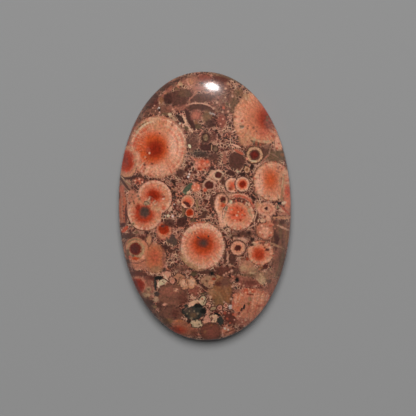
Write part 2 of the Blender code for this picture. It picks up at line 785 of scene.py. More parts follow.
    def threaded(self, colour):
        """Pale threads over the ground: lace round small cells, and lone winding lines."""
        walls = self.cells("DISTANCE_TO_EDGE", self.LACE_SCALE)
        drift = self.noise_amount(self.swirled, self.DRIFT_SCALE)
        pale = self.ramp(drift, self.stops(self.THREADS)).outputs["Color"]
        lacy = self.math("MAXIMUM", drift * self.LACE_GAIN - self.LACE_START, 0.0)
        distance = Amount(self, walls.outputs["Distance"])
        wall = (self.LACE_WIDTH - distance) * self.LACE_CONTRAST * lacy
        winding = self.noise_amount(self.swirled, self.WINDING_SCALE, detail=1.0)
        crest = 1.0 - abs(winding - 0.5) * self.WINDING_CONTRAST
        line = crest * self.math("MAXIMUM", self.WINDING_END - drift * self.WINDING_GAIN, 0.0)
        return self.mix(self.math("MAXIMUM", wall, line), colour, pale)

    def stops(self, zones):
        return [(share, self.palette.tone(name)) for share, name in zones.items()]

    def add_fibres(self):
        """Pale and deep fibres that run outwards in the orbs."""
        spokes = self.node("SeparateXYZ", {}, {0: self.spokes}).outputs
        x, y, radius = [Amount(self, part) for part in spokes]
        flat = self.node("CombineXYZ", {}, {0: x, 1: y, 2: 0.0}).outputs[0]
        reach = self.measure("LENGTH", flat)
        along = reach / self.FIBRE_LENGTH + radius * self.ORB_SPREAD
        depth = self.node("CombineXYZ", {}, {0: 0.0, 1: 0.0, 2: along}).outputs[0]
        wheel = self.scaled(self.vector("NORMALIZE", flat), radius * self.FIBRES_PER_MM)
        fibre = self.noise_amount(self.vector("ADD", wheel, depth), 1.0, roughness=0.6)
        grown = (reach / radius - self.FIBRES_FROM) * self.FIBRES_GROW
        outer = self.math("MAXIMUM", self.math("MINIMUM", grown, 1.0), 0.0)
        pale_tone, pale_from = self.PALE_FIBRE
        deep_tone, deep_to = self.DEEP_FIBRE
        pale = (fibre - pale_from) * self.FIBRE_CONTRAST * outer
        deep = (deep_to - fibre) * self.FIBRE_CONTRAST * outer
        self.colour = self.mix(pale, self.colour, self.palette.tone(pale_tone))
        self.colour = self.mix(deep, self.colour, self.palette.tone(deep_tone))

    def add_grain(self):
        """Fine specks, light and dark and slightly tinted, as the grains of the quartz are."""
        grains = self.noise(self.place, self.GRAIN_SCALE, roughness=0.7)
        specks = self.parts(grains.outputs["Color"])
        light = specks[0] * self.GRAIN_CONTRAST + self.GRAIN_DARKEST
        parts = [light + (part - 0.5) * self.GRAIN_TINT for part in specks]
        tint = self.node("CombineColor", {}, dict(enumerate(parts))).outputs[0]
        self.colour = self.mix(1.0, self.colour, tint, "MULTIPLY")

    def add_region(self, region):
        """Lays the markings of one region, in a node group with the region's name."""
        painter = Painter(region.__name__.removeprefix("paint_"), self.palette)
        region(painter)
        given = {**self.fields, "colour": self.colour, "spokes": self.spokes}
        laid = self.node("Group", {"node_tree": painter.finish()}, given).outputs
        self.colour = laid["colour"]
        self.spokes = laid["spokes"]


# One function paints each region. In it p is the painter, and each marking lies over
# the ones before it.


def paint_top_end(p):
    """Plum clasts, a tan arc and a rose spot, up to the top edge."""
    p.patch(3.4, 17.8, 2.2, 3.8, "mauve+umber", 0.5, 0.75)
    p.patch(-7.6, 16.4, 2.6, 1.1, "mauve+umber", 0.4, 0.85)
    p.wisp((-5.6, 16.9), (-2.3, 16.9), 0.7, "rose+mauve", 0.8, 0.8)
    p.patch(-4.0, 16.5, 2.6, 0.6, "mauve+rose", 0.5, 0.7)
    p.patch(-8.6, 18.0, 1.6, 1.6, "plum+wine", 0.4, 0.85)
    p.patch(-6.3, 20.3, 1.5, 0.7, "wine+umber", 0.5, 0.8)
    p.streak((-7.6, 17.7), (-4.2, 20.9), 0.75, "rose+mauve", 0.6, 0.85)
    p.patch(-6.2, 18.95, 0.35, 0.3, "tan+rose")
    p.patch(-6.9, 17.9, 0.45, 0.7, "tawny", 0.5, 0.8)
    p.patch(-1.9, 21.0, 1.9, 1.2, "rose+taupe", 0.5, 0.9)
    p.patch(-2.0, 20.9, 0.9, 0.6, "rose+tan", 0.6)
    p.arc(-1.7, 21.0, 0.8, 0.35, "rose+blush", (-2.4, 20.6), 1.2, 0.7, 0.7, "ragged")
    p.patch(-3.7, 20.5, 0.5, 0.4, "tan+sand")
    p.streak((-5.2, 21.2), (-3.6, 21.5), 0.3, "tan+rose", 0.5)
    p.patch(0.4, 21.4, 1.5, 0.8, "rose+wine")
    p.patch(3.2, 21.3, 2.0, 0.8, "umber+wine", 0.4)
    p.patch(-0.7, 19.7, 1.7, 0.7, "rose+taupe")
    p.patch(-6.8, 19.75, 0.45, 0.35, "olive+night", 0.4)
    p.patch(-4.9, 20.4, 0.5, 0.35, "slate+mauve", 0.5, 0.8)
    p.grain(-4.05, 18.2, 2.85, 1.5, "plum+umber", 0.25)
    p.patch(-2.9, 19.1, 1.5, 0.8, "umber")
    for left in (-5.3, -4.5, -3.8, -2.9):
        p.wisp((left, 19.4), (left + 0.3, 17.0), 0.5, "mauve+umber", 0.95, 0.3)
    p.patch(-5.8, 18.1, 0.85, 1.3, "plum", 0.4)
    p.patch(-3.0, 18.9, 1.2, 0.8, "umber+olive", 0.6, 0.5)
    p.patch(-4.3, 19.8, 0.45, 0.35, "olive+mauve")
    p.patch(0.0, 18.1, 2.0, 0.9, "umber", 0.25)
    p.streak((-0.7, 19.4), (-2.3, 17.8), 0.35, "rose+taupe", 0.5)
    p.streak((-2.15, 18.3), (-2.3, 16.9), 0.35, "rose+taupe", 0.5)
    p.arc(-0.9, 12.5, 4.1, 1.1, "plum+umber", (-0.3, 16.5), 2.7, 0.3)
    p.arc(-1.0, 12.5, 4.75, 0.3, "taupe+blush", (-0.5, 17.2), 2.6, 0.5)
    p.patch(0.65, 14.9, 1.0, 1.5, "olive+mauve")
    p.patch(-0.9, 13.4, 0.8, 0.6, "olive+plum")
    p.patch(1.3, 13.8, 1.1, 0.9, "plum", 0.5, 0.9)
    p.wisp((1.0, 15.6), (2.1, 15.2), 0.5, "taupe+pearl", 0.9, 0.6)
    p.patch(3.1, 14.1, 0.9, 1.5, "rose+wine", 0.45)
    p.dots(
        "rose+blush", (3.3, 14.5, 0.25), (2.9, 13.7, 0.22), (3.6, 13.2, 0.22), (4.2, 14.9, 0.2),
        (4.5, 14.3, 0.2)
    )
    p.patch(4.1, 17.0, 0.35, 0.4, "olive+plum")
    p.streak((4.4, 17.1), (4.6, 16.3), 0.25, "sand+taupe")
    p.patch(5.3, 17.0, 1.0, 2.2, "umber+olive", 0.7, 0.8)
    p.patch(6.0, 18.9, 1.0, 0.8, "olive+mauve", 0.5, 0.8)
    p.patch(6.1, 18.85, 0.3, 0.35, "olive+plum")
    p.streak((6.2, 19.2), (6.5, 19.8), 0.2, "olive+tan", 0.5)
    p.dots("coral+rose", (3.5, 16.4, 0.35))
    p.dots(
        "blush+taupe", (3.3, 15.7, 0.25), (4.25, 15.75, 0.28), (2.4, 17.3, 0.35), (4.4, 15.2, 0.2),
        (5.0, 18.3, 0.3), (3.9, 19.6, 0.3), (4.3, 20.4, 0.3), (1.8, 16.3, 0.3), (3.8, 18.1, 0.25)
    )
    p.streak((2.6, 18.4), (2.9, 16.4), 0.3, "rose+taupe", 0.6, 0.8)
    p.dots(
        "plum", (3.1, 16.5, 0.22), (4.3, 18.6, 0.25), (2.6, 17.7, 0.22), (3.7, 15.2, 0.3),
        (4.5, 13.6, 0.35)
    )
    p.streak((-3.0, 16.3), (-1.4, 12.9), 1.0, "plum", 0.5)
    p.orb(-1.2, 15.2, 1.15, 1.2, {0.0: "salmon+rose", 0.5: "rose", 0.8: "rose+umber"}, 0.4)
    p.patch(-1.2, 14.05, 0.4, 0.4, "tawny")
    p.patch(-9.5, 15.4, 0.5, 0.5, "plum+mauve")
    p.patch(-10.3, 15.3, 0.35, 0.5, "blush+taupe")
    # Painted highlight and shade at the pit near the top left: pale glints on its edge, and shade
    # inside it.
    p.dots("pearl", (-7.35, 16.6, 0.2), (-7.25, 15.9, 0.12))
    p.dots("night", (-7.3, 16.25, 0.28))
    p.dots(
        "blush+rose", (-8.1, 17.0, 0.2), (-8.4, 16.6, 0.18), (-7.3, 15.8, 0.2), (-5.1, 16.3, 0.22),
        (-8.0, 16.1, 0.18)
    )
    p.patch(-6.3, 15.6, 0.9, 0.3, "umber+olive")


def paint_great_poppy(p):
    """The largest poppy, high on the left, with an orange heart left of its middle."""
    p.patch(-11.4, 13.6, 1.8, 1.6, "rose+mauve", 0.4)
    p.patch(-10.0, 14.0, 1.1, 0.45, "olive+umber")
    p.streak((-10.6, 14.0), (-8.8, 14.7), 0.4, "coral+brick")
    p.patch(-12.6, 11.0, 0.7, 1.6, "rose+umber", 0.4)
    p.dots("brick+rose", (-12.5, 10.8, 0.35), (-11.6, 13.3, 0.3), (-11.1, 14.2, 0.3))
    p.dots("olive+plum", (-11.9, 12.2, 0.4), (-12.7, 10.2, 0.3), (-11.0, 13.0, 0.25))
    rim = {0.0: "salmon", 0.8: "salmon", 0.9: "salmon+blush", 0.95: "tan+rose"}
    p.orb(-7.65, 10.05, 4.85, 5.3, rim, 0.04, fibres=True)
    p.patch(-4.7, 10.4, 1.7, 3.8, "blush", 0.7, 0.95)
    p.patch(-8.0, 6.2, 3.6, 1.3, "blush+salmon", 0.7, 0.8)
    p.patch(-7.6, 13.7, 2.6, 1.3, "salmon+tan", 0.7, 0.8)
    p.arc(-7.65, 10.05, 4.25, 0.4, "coral+rose", (-3.6, 9.0), 4.2, 0.6, 0.55)
    p.arc(-7.65, 10.05, 3.8, 0.35, "blush+sand", (-4.6, 11.6), 3.2, 0.6, 0.9)
    p.arc(-7.65, 10.05, 3.35, 0.4, "coral+salmon", (-4.6, 11.2), 3.4, 0.6, 0.6)
    p.arc(-7.65, 10.05, 4.65, 0.25, "blush+cream", (-4.0, 13.2), 3.4, 0.5, 0.8)
    p.patch(-8.7, 9.9, 3.45, 3.3, "coral+orange", 0.42)
    p.patch(-8.7, 9.8, 3.0, 2.85, "orange", 0.35)
    p.patch(-8.15, 9.65, 1.95, 2.1, "brick+garnet", 0.6)
    p.patch(-8.05, 9.7, 1.5, 1.7, "garnet", 0.7, 0.9)
    p.patch(-9.3, 9.4, 0.5, 0.8, "brick+rose", 0.7, 0.6)
    p.patch(-10.3, 10.4, 0.9, 1.3, "orange+coral", 0.7, 0.6)
    p.patch(-11.2, 8.5, 0.8, 1.1, "salmon+blush", 0.6)
    p.streak((-11.8, 10.2), (-10.9, 12.2), 0.5, "brick+coral", 0.6, 0.85)
    p.streak((-10.6, 12.4), (-9.2, 13.4), 0.5, "coral+brick", 0.7, 0.7)
    p.arc(-7.6, 10.05, 4.35, 0.35, "cream+sand", (-10.0, 13.3), 2.2)
    p.arc(-7.6, 10.05, 4.65, 0.3, "olive", (-10.3, 13.4), 1.6)
    # A painted glint: a pale highlight on the red heart.
    p.dots("blush", (-9.05, 9.0, 0.25))
    p.dots("garnet", (-8.9, 8.6, 0.25), (-9.4, 9.0, 0.2), (-9.6, 8.1, 0.2))
    p.dots("salmon", (-9.8, 8.4, 0.28))
    p.dots(
        "umber+wine", (-8.7, 7.25, 0.27), (-9.95, 7.1, 0.35), (-9.9, 6.5, 0.22), (-9.0, 5.25, 0.28),
        (-8.0, 5.3, 0.2), (-6.4, 5.05, 0.3), (-7.3, 12.3, 0.2), (-6.0, 9.95, 0.18),
        (-11.1, 5.95, 0.25), (-10.4, 5.0, 0.28)
    )
    p.dots(
        "blush", (-9.5, 5.9, 0.25), (-8.4, 5.9, 0.22), (-10.5, 6.1, 0.22), (-7.2, 6.2, 0.22),
        (-9.2, 6.6, 0.2)
    )
    p.wisp((-5.9, 15.7), (-4.4, 14.2), 0.6, "sand+taupe", 0.6, 0.95)
    p.patch(-5.5, 15.5, 0.4, 0.3, "cream+sand", 0.6)
    p.dots("olive+umber", (-5.3, 14.8, 0.3), (-5.2, 13.6, 0.3))


def paint_left_edge(p):
    """A poppy cut by the left edge, with a dark crescent under it."""
    p.orb(
        -13.0, 7.75, 1.95, 2.75,
        {0.0: "brick", 0.52: "brick", 0.62: "brick+coral", 0.72: "salmon+rose", 0.88: "salmon+tan"},
        0.06
    )
    p.patch(-12.7, 8.0, 1.1, 1.8, "garnet+brick")
    p.patch(-12.9, 7.7, 0.35, 0.9, "garnet+umber", 0.8, 0.6)
    p.patch(-13.4, 8.3, 0.4, 0.7, "garnet", 0.7, 0.8)
    p.arc(-12.9, 7.9, 3.05, 0.6, "plum", (-12.6, 4.9), 2.1, 0.5)
    p.patch(-13.2, 3.8, 1.2, 1.2, "mauve+taupe", 0.5, 0.8)
    p.streak((-14.3, 5.2), (-12.5, 2.7), 0.45, "umber+plum", 0.4)
    p.streak((-13.4, 4.6), (-12.3, 3.7), 0.25, "sand+taupe", 0.4)
    p.streak((-14.0, 5.3), (-13.3, 4.6), 0.2, "sand+taupe", 0.4)
    p.patch(-13.9, 3.0, 0.6, 0.9, "rose+coral", 0.5, 0.8)
    p.patch(-11.0, 4.4, 1.0, 0.7, "rose+coral")
    p.dots(
        "umber+wine", (-11.15, 4.1, 0.4), (-10.2, 4.9, 0.3), (-11.2, 4.9, 0.3), (-10.6, 4.5, 0.22)
    )
    p.dots("blush", (-10.9, 4.7, 0.22), (-11.6, 4.5, 0.22), (-10.4, 4.2, 0.2))


def paint_left_pair(p):
    """Two poppies grown together: a red heart above, a dark core below."""
    p.patch(-13.7, -0.1, 0.9, 3.4, "coral+tawny", 0.4)
    p.streak((-13.9, 2.6), (-13.8, -2.6), 0.3, "tan+rose", 0.6, 0.6)
    p.streak((-13.15, 0.6), (-13.3, -2.9), 0.4, "umber+wine", 0.4)
    p.streak((-12.85, 1.8), (-12.9, -2.6), 0.2, "blush+rose", 0.5)
    p.dots(
        "umber+wine", (-13.6, 0.2, 0.22), (-13.6, -0.6, 0.25), (-13.6, -1.8, 0.22),
        (-13.5, -1.2, 0.18)
    )
    p.patch(-12.1, 1.8, 1.0, 1.3, "salmon+rose", 0.4, 0.9)
    rim = {0.0: "salmon", 0.75: "salmon", 0.86: "blush+salmon", 0.96: "blush+rose"}
    p.orb(-8.4, 1.55, 2.95, 3.0, rim, 0.03, fibres=True)
    p.arc(-8.4, 1.55, 2.65, 0.4, "blush", (-7.0, 2.6), 4.0, 0.5, 0.9)
    p.arc(-8.4, 1.55, 3.0, 0.22, "plum", (-6.8, 2.6), 3.9, 0.5)
    p.patch(-6.9, -0.2, 0.55, 0.5, "coral+brick", 0.6, 0.8)
    p.streak((-7.35, 1.45), (-6.6, 1.8), 0.42, "umber+plum", 0.4)
    p.streak((-7.25, 1.2), (-6.6, 1.35), 0.25, "blush+pearl")
    rim = {0.0: "salmon", 0.95: "salmon"}
    p.orb(-10.05, -1.05, 2.85, 3.05, rim, 0.05, fibres=True)
    p.arc(-10.05, -1.05, 2.65, 0.45, "blush", (-11.0, -3.0), 4.0, 0.5, 0.9)
    p.arc(-10.05, -1.05, 2.95, 0.22, "plum", (-11.3, -3.0), 3.9, 0.5)
    p.patch(-8.2, -0.2, 1.2, 1.3, "tan+salmon", 0.6, 0.9)
    p.patch(-8.65, 1.9, 2.3, 2.0, "coral", 0.6)
    p.patch(-8.5, 1.85, 1.6, 1.5, "brick")
    p.patch(-8.6, 1.85, 1.15, 1.2, "garnet", 0.7)
    p.patch(-9.1, 1.5, 0.35, 0.5, "wine+rose", 0.6, 0.7)
    p.patch(-10.2, -1.15, 2.35, 2.2, "coral")
    p.patch(-10.2, -1.2, 1.95, 1.75, "brick", 0.35)
    p.patch(-11.2, 0.0, 0.5, 0.9, "garnet")
    p.patch(-8.5, -0.2, 0.9, 0.6, "salmon+tan", 0.7, 0.9)
    p.patch(-10.1, -0.85, 1.2, 1.3, "umber")
    p.patch(-10.0, -0.8, 0.85, 0.95, "plum+slate", 0.8, 0.8)
    p.patch(-9.7, 0.65, 0.7, 0.55, "sand+olive", 0.4)
    p.streak((-10.2, 0.9), (-9.5, 0.9), 0.25, "plum", 0.4)
    p.streak((-9.7, 0.9), (-9.05, 0.35), 0.25, "olive+plum", 0.4)
    p.dots("plum+mauve", (-9.9, 0.35, 0.22), (-9.35, 1.1, 0.18))
    p.dots("sand+tan", (-12.05, -2.75, 0.5))
    p.dots(
        "umber+olive", (-12.1, -2.75, 0.3), (-12.05, 2.15, 0.25), (-12.2, 1.7, 0.2),
        (-11.9, 1.0, 0.25), (-11.5, -4.2, 0.4), (-11.8, 0.7, 0.25), (-11.1, 1.9, 0.3),
        (-10.9, 1.4, 0.35)
    )
    p.patch(-13.8, -2.9, 0.6, 0.5, "plum+wine")
    p.streak((-14.0, -4.15), (-12.9, -3.1), 0.65, "brick+coral", 0.35)
    p.patch(-12.8, -4.8, 1.9, 0.7, "plum+umber")
    p.orb(
        -6.9, -4.05, 1.4, 1.65, {0.0: "coral", 0.5: "coral+salmon", 0.7: "salmon", 0.9: "rose"}, 0.1
    )
    p.patch(-6.95, -3.75, 1.05, 1.05, "garnet+brick", 0.25)
    p.patch(-7.1, -3.25, 0.5, 0.35, "wine+umber", 0.6)
    p.patch(-6.0, -2.7, 1.2, 0.8, "plum", 0.4, 0.9)
    p.dots("cream", (-6.15, -1.55, 0.35))
    p.dots("blush+pearl", (-5.4, -1.65, 0.32), (-5.1, 0.4, 0.2), (-6.7, -1.5, 0.2))
    p.dots("night", (-6.8, -1.65, 0.22), (-5.0, 2.0, 0.25), (-5.5, -0.9, 0.3))
    p.grain(-5.5, -5.6, 1.1, 0.95, "slate+umber", 0.3)
    p.patch(-6.8, -6.8, 0.9, 0.6, "plum", 0.4)


def paint_lower_left(p):
    """A dark-cored orb, an orange blob and a poppy cut by the edge."""
    p.patch(-9.45, -5.6, 0.75, 1.1, "plum+umber", 0.3, 0.8)
    p.patch(-9.45, -5.5, 0.5, 0.95, "salmon+tan", 0.4)
    p.patch(-10.5, -5.15, 0.6, 0.55, "wine+umber", 0.4)
    p.patch(-11.2, -9.5, 2.0, 1.2, "rose+salmon")
    p.orb(
        -11.7, -7.2, 2.3, 2.3,
        {0.0: "tan", 0.6: "tan", 0.75: "salmon", 0.9: "salmon+rose", 0.96: "plum+umber"}, 0.04
    )
    p.arc(-11.7, -7.0, 1.65, 0.45, "olive+tan", (-12.0, -5.4), 1.6, 0.5)
    p.arc(-11.7, -7.0, 1.35, 0.25, "sand+tan", (-10.5, -7.4), 1.4, 0.5)
    p.orb(-11.75, -7.0, 1.15, 1.2, {0.0: "wine+plum", 0.6: "wine", 0.8: "garnet+wine"}, 0.2)
    p.patch(-11.8, -8.6, 0.85, 0.4, "brick+orange")
    p.patch(-12.8, -8.3, 0.45, 0.4, "coral+rose")
    p.patch(-10.3, -8.4, 0.6, 0.5, "blush+salmon", 0.6)
    p.dots("olive+plum", (-12.15, -8.15, 0.35), (-13.1, -9.1, 0.4))
    p.patch(-8.6, -8.5, 2.0, 2.8, "orange+tan", 0.4)
    p.patch(-8.6, -8.3, 1.5, 2.0, "orange+rose", 0.7)
    p.patch(-8.4, -10.5, 1.3, 0.8, "tan+tawny", 0.7, 0.85)
    p.patch(-7.0, -8.6, 0.45, 1.6, "mauve+rose", 0.5, 0.8)
    p.patch(-11.6, -11.2, 2.1, 0.75, "umber+wine")
    p.patch(-9.4, -11.9, 1.4, 0.7, "umber+wine", 0.6)
    p.patch(-10.8, -13.5, 2.5, 2.1, "mauve+rose", 0.4)
    p.patch(-10.1, -14.7, 1.0, 0.5, "tan+sand")
    p.orb(
        -11.6, -13.2, 1.8, 1.75,
        {0.0: "garnet", 0.45: "garnet+wine", 0.7: "rose+brick", 0.85: "salmon+rose"}, 0.25
    )
    p.patch(-11.5, -13.1, 1.15, 1.3, "garnet", 0.6, 0.9)
    p.dots("tan+sand", (-9.65, -13.8, 0.65))
    p.dots("olive+umber", (-9.65, -13.8, 0.35))
    p.patch(-9.9, -15.9, 1.0, 0.9, "umber", 0.4)


def paint_clasts(p):
    """Angular pieces along the lower left and the bottom."""
    p.piece(-5.8, -14.9, 2.5, 2.0, "mauve")
    p.patch(-6.3, -14.2, 1.8, 1.0, "mauve+rose", 0.7, 0.8)
    p.patch(-3.9, -15.5, 1.4, 1.4, "umber+wine", 0.8, 0.7)
    p.wisp((-7.3, -14.9), (-4.2, -15.9), 0.6, "mauve+umber", 0.9, 0.7)
    p.wisp((-6.9, -13.4), (-4.4, -14.6), 0.4, "rose+mauve", 0.9, 0.6)
    p.patch(-5.1, -14.0, 0.5, 0.35, "salmon+blush")
    p.dots("umber", (-5.25, -13.85, 0.15), (-4.8, -14.1, 0.15))
    p.piece(-6.0, -18.0, 2.0, 1.3, "mauve+umber")
    p.patch(-5.3, -17.9, 0.9, 1.0, "wine+umber", 0.7, 0.8)
    p.patch(-7.95, -11.9, 0.95, 0.4, "night", 0.35)
    p.streak((-8.6, -12.0), (-8.45, -14.0), 0.5, "night+slate", 0.5)
    p.streak((-8.2, -13.05), (-6.6, -12.25), 0.95, "cream+sand", 0.25)
    p.streak((-8.05, -12.6), (-7.95, -13.6), 0.45, "cream+blush", 0.4)
    p.piece(-6.6, -11.55, 0.75, 0.85, "blush+rose")
    p.wisp((-7.2, -11.3), (-6.4, -12.4), 0.45, "blush+cream", 0.7, 0.9)
    p.streak((-6.9, -12.1), (-6.2, -12.7), 0.2, "plum", 0.4)
    p.orb(-5.6, -12.4, 0.65, 0.85, {0.0: "salmon+rose", 0.6: "blush+rose", 0.8: "plum+umber"}, 0.15)
    p.streak((-5.6, -10.8), (-5.0, -12.8), 0.25, "plum", 0.5)
    p.patch(-8.3, -14.6, 0.55, 0.5, "slate+plum", 0.3)
    p.patch(-8.45, -15.5, 0.55, 0.48, "taupe+sand", 0.3)
    p.patch(-7.8, -16.4, 0.8, 0.7, "plum+umber")
    p.patch(-8.75, -16.75, 0.5, 0.4, "olive+tan", 0.4)
    p.patch(-7.0, -16.35, 0.6, 0.25, "blush+rose", 0.6)
    p.dots("plum", (-5.25, -18.6, 0.22), (-9.5, -17.0, 0.5), (-8.7, -18.1, 0.5))
    p.patch(-6.6, -19.2, 1.3, 0.6, "tawny+olive")
    p.patch(-4.7, -19.4, 1.2, 0.6, "tan+orange")
    p.patch(-4.0, -20.6, 2.8, 1.5, "tawny+rose", 0.3)
    p.patch(-5.0, -20.8, 2.1, 1.0, "brick", 0.7)
    p.patch(-2.2, -21.5, 0.9, 0.9, "umber+wine", 0.7, 0.6)
    p.piece(-2.2, -17.7, 1.95, 1.35, "slate+night", "night")
    p.patch(-3.0, -17.5, 1.0, 0.7, "slate+umber", 0.8, 0.7)
    p.patch(-0.55, -17.65, 0.65, 0.5, "night", 0.3)
    p.patch(-1.35, -16.75, 0.9, 0.4, "night", 0.3)
    p.patch(-2.3, -18.3, 0.9, 0.6, "umber+olive", 0.8, 0.8)
    p.dots(
        "taupe+moss", (-1.5, -18.0, 0.3), (-2.6, -18.8, 0.35), (-2.1, -17.6, 0.22),
        (-2.9, -17.6, 0.2), (-3.3, -18.0, 0.2)
    )
    p.streak((-3.9, -17.5), (-3.2, -16.9), 0.2, "taupe+slate", 0.4)
    p.patch(-3.0, -19.3, 0.5, 0.5, "night+plum", 0.3)
    p.piece(-1.7, -19.75, 0.85, 0.8, "cream+tan", "night")
    p.dots("olive+night", (-1.35, -19.8, 0.2), (-2.2, -20.1, 0.12), (-1.9, -19.3, 0.1))
    p.patch(-2.0, -14.2, 1.2, 1.1, "rose+wine", 0.4, 0.9)
    p.dots(
        "blush+rose", (-1.1, -13.5, 0.2), (-0.9, -12.95, 0.18), (-2.4, -14.8, 0.2),
        (-1.4, -14.6, 0.2), (0.75, -13.9, 0.4)
    )
    p.piece(-4.4, -12.0, 0.9, 0.7, "rose+tan")
    p.piece(-3.7, -12.9, 1.0, 0.95, "tan+salmon")
    p.patch(-3.7, -12.9, 0.9, 0.75, "sand+blush", 0.8, 0.9)
    p.dots("rose", (-3.6, -13.05, 0.18), (-3.65, -12.15, 0.18))
    p.piece(-2.5, -12.9, 0.8, 0.95, "tan+salmon")
    p.patch(-2.4, -12.8, 0.75, 0.9, "sand+blush", 0.8, 0.9)
    p.streak((-3.2, -12.2), (-3.05, -13.6), 0.12, "umber")
    p.patch(-2.0, -11.3, 0.7, 0.5, "olive+night")
    p.patch(-1.45, -12.7, 0.35, 0.55, "night+plum", 0.4)
    p.wisp((-3.2, -16.8), (-1.3, -15.7), 0.85, "blush+sand", 0.5)
    p.piece(-0.68, -15.8, 0.6, 0.95, "cream+tan", "night")
    p.dots("rose+brick", (-0.68, -15.6, 0.25))
    p.dots("olive+night", (-0.5, -16.3, 0.15), (-0.9, -15.2, 0.12))
    p.patch(-0.6, -14.72, 0.5, 0.2, "olive+night", 0.3)


def paint_bottom(p):
    """Grains and dark patches round the bottom end."""
    p.patch(3.0, -11.0, 2.2, 1.1, "umber+wine", 0.6, 0.9)
    p.patch(4.5, -9.0, 0.8, 1.1, "plum+umber", 0.4)
    p.patch(4.9, -11.0, 1.1, 0.9, "plum+umber", 0.6, 0.9)
    p.dots("night+umber", (4.4, -9.8, 0.3))
    p.streak((3.3, -6.9), (3.2, -10.0), 0.55, "plum+umber", 0.6)
    p.patch(-4.3, -10.4, 1.6, 0.9, "umber+mauve", 0.7, 0.75)
    p.patch(-3.4, -10.1, 0.5, 0.35, "rose+umber", 0.9, 0.7)
    p.piece(2.5, -14.5, 2.0, 2.6, "tawny")
    p.patch(3.1, -12.9, 1.5, 1.2, "mauve+umber", 0.6)
    p.patch(2.1, -15.9, 1.3, 1.2, "tawny+olive", 0.7, 0.8)
    p.patch(0.9, -14.4, 1.0, 0.9, "tawny+tan", 0.8, 0.8)
    for left, top in ((0.9, -13.4), (1.9, -14.2), (3.0, -13.3)):
        p.wisp((left, top), (left + 0.8, top - 2.0), 0.6, "tan+tawny", 0.95, 0.4)
    p.dots("blush+tan", (0.7, -15.3, 0.35))
    p.patch(0.0, -11.1, 2.6, 0.4, "umber+plum")
    p.piece(0.35, -12.6, 1.3, 1.15, "tan+taupe")
    p.patch(0.8, -12.9, 0.6, 0.5, "tan+salmon", 0.6)
    p.patch(1.3, -12.2, 0.5, 0.35, "brick+umber")
    p.dots(
        "wine+umber", (0.05, -12.6, 0.3), (-0.4, -12.0, 0.15), (0.5, -13.4, 0.15),
        (1.2, -13.2, 0.18)
    )
    p.piece(1.95, -11.75, 0.45, 0.5, "tan+tawny")
    p.dots("night", (0.98, -11.35, 0.6))
    p.patch(2.0, -13.1, 0.8, 0.6, "plum+wine", 0.7, 0.85)
    p.dots("blush+rose", (3.0, -11.6, 0.28), (3.4, -11.35, 0.25), (3.9, -11.2, 0.22))
    p.dots("night", (4.0, -11.8, 0.25), (3.1, -12.0, 0.15))
    p.dots(
        "blush+taupe", (4.3, -11.0, 0.35), (4.1, -15.7, 0.3), (2.9, -16.2, 0.28), (4.4, -13.6, 0.25)
    )
    p.piece(0.3, -16.5, 0.5, 0.45, "blush+rose")
    p.piece(1.2, -17.15, 0.5, 0.4, "sand+olive")
    p.orb(2.2, -17.1, 0.65, 0.6, {0.0: "wine", 0.3: "rose", 0.5: "blush+rose", 0.8: "plum"}, 0.15)
    p.orb(3.2, -16.75, 0.5, 0.65, {0.0: "rose", 0.4: "rose", 0.55: "blush", 0.8: "plum"}, 0.15)
    p.orb(4.05, -17.0, 0.55, 0.55, {0.0: "taupe+pearl", 0.6: "taupe+pearl", 0.8: "umber"}, 0.2)
    p.patch(4.2, -18.9, 1.8, 1.4, "umber+wine", 0.4)
    p.dots(
        "rose+brick", (3.0, -18.0, 0.35), (3.4, -19.0, 0.3), (4.4, -18.3, 0.3), (3.9, -19.7, 0.25)
    )
    p.dots(
        "blush+rose", (3.7, -18.0, 0.2), (2.9, -18.6, 0.15), (4.6, -19.2, 0.2), (0.15, -17.7, 0.35),
        (2.5, -17.8, 0.2)
    )
    p.piece(0.0, -18.95, 0.6, 0.9, "rose+blush", "night+plum")
    p.piece(1.1, -18.8, 0.7, 0.7, "blush+sand", "night+plum")
    p.patch(0.85, -18.85, 0.3, 0.35, "umber+taupe")
    p.patch(2.25, -19.3, 0.6, 0.85, "night+slate", 0.25)
    p.streak((1.2, -17.95), (2.4, -18.5), 0.4, "night", 0.3)
    p.orb(0.55, -21.1, 1.95, 1.65, {0.0: "mauve+wine+rose", 0.8: "mauve+wine", 0.9: "umber"}, 0.08)
    p.patch(0.8, -21.4, 1.0, 0.9, "rose+wine", 0.7, 0.6)
    p.dots("tawny", (-0.4, -21.1, 0.35), (0.8, -20.0, 0.25))
    p.patch(3.4, -21.0, 1.4, 0.9, "rose+salmon")
    p.wisp((2.6, -21.5), (4.6, -20.7), 0.4, "umber+wine", 0.9, 0.7)
    p.wisp((2.6, -20.3), (3.9, -20.8), 0.5, "blush+rose", 0.8, 0.9)
    p.dots("cream+pearl", (2.95, -20.6, 0.25), (3.5, -20.8, 0.2))
    p.streak((2.5, -21.0), (2.7, -22.2), 0.25, "rose+blush", 0.5)


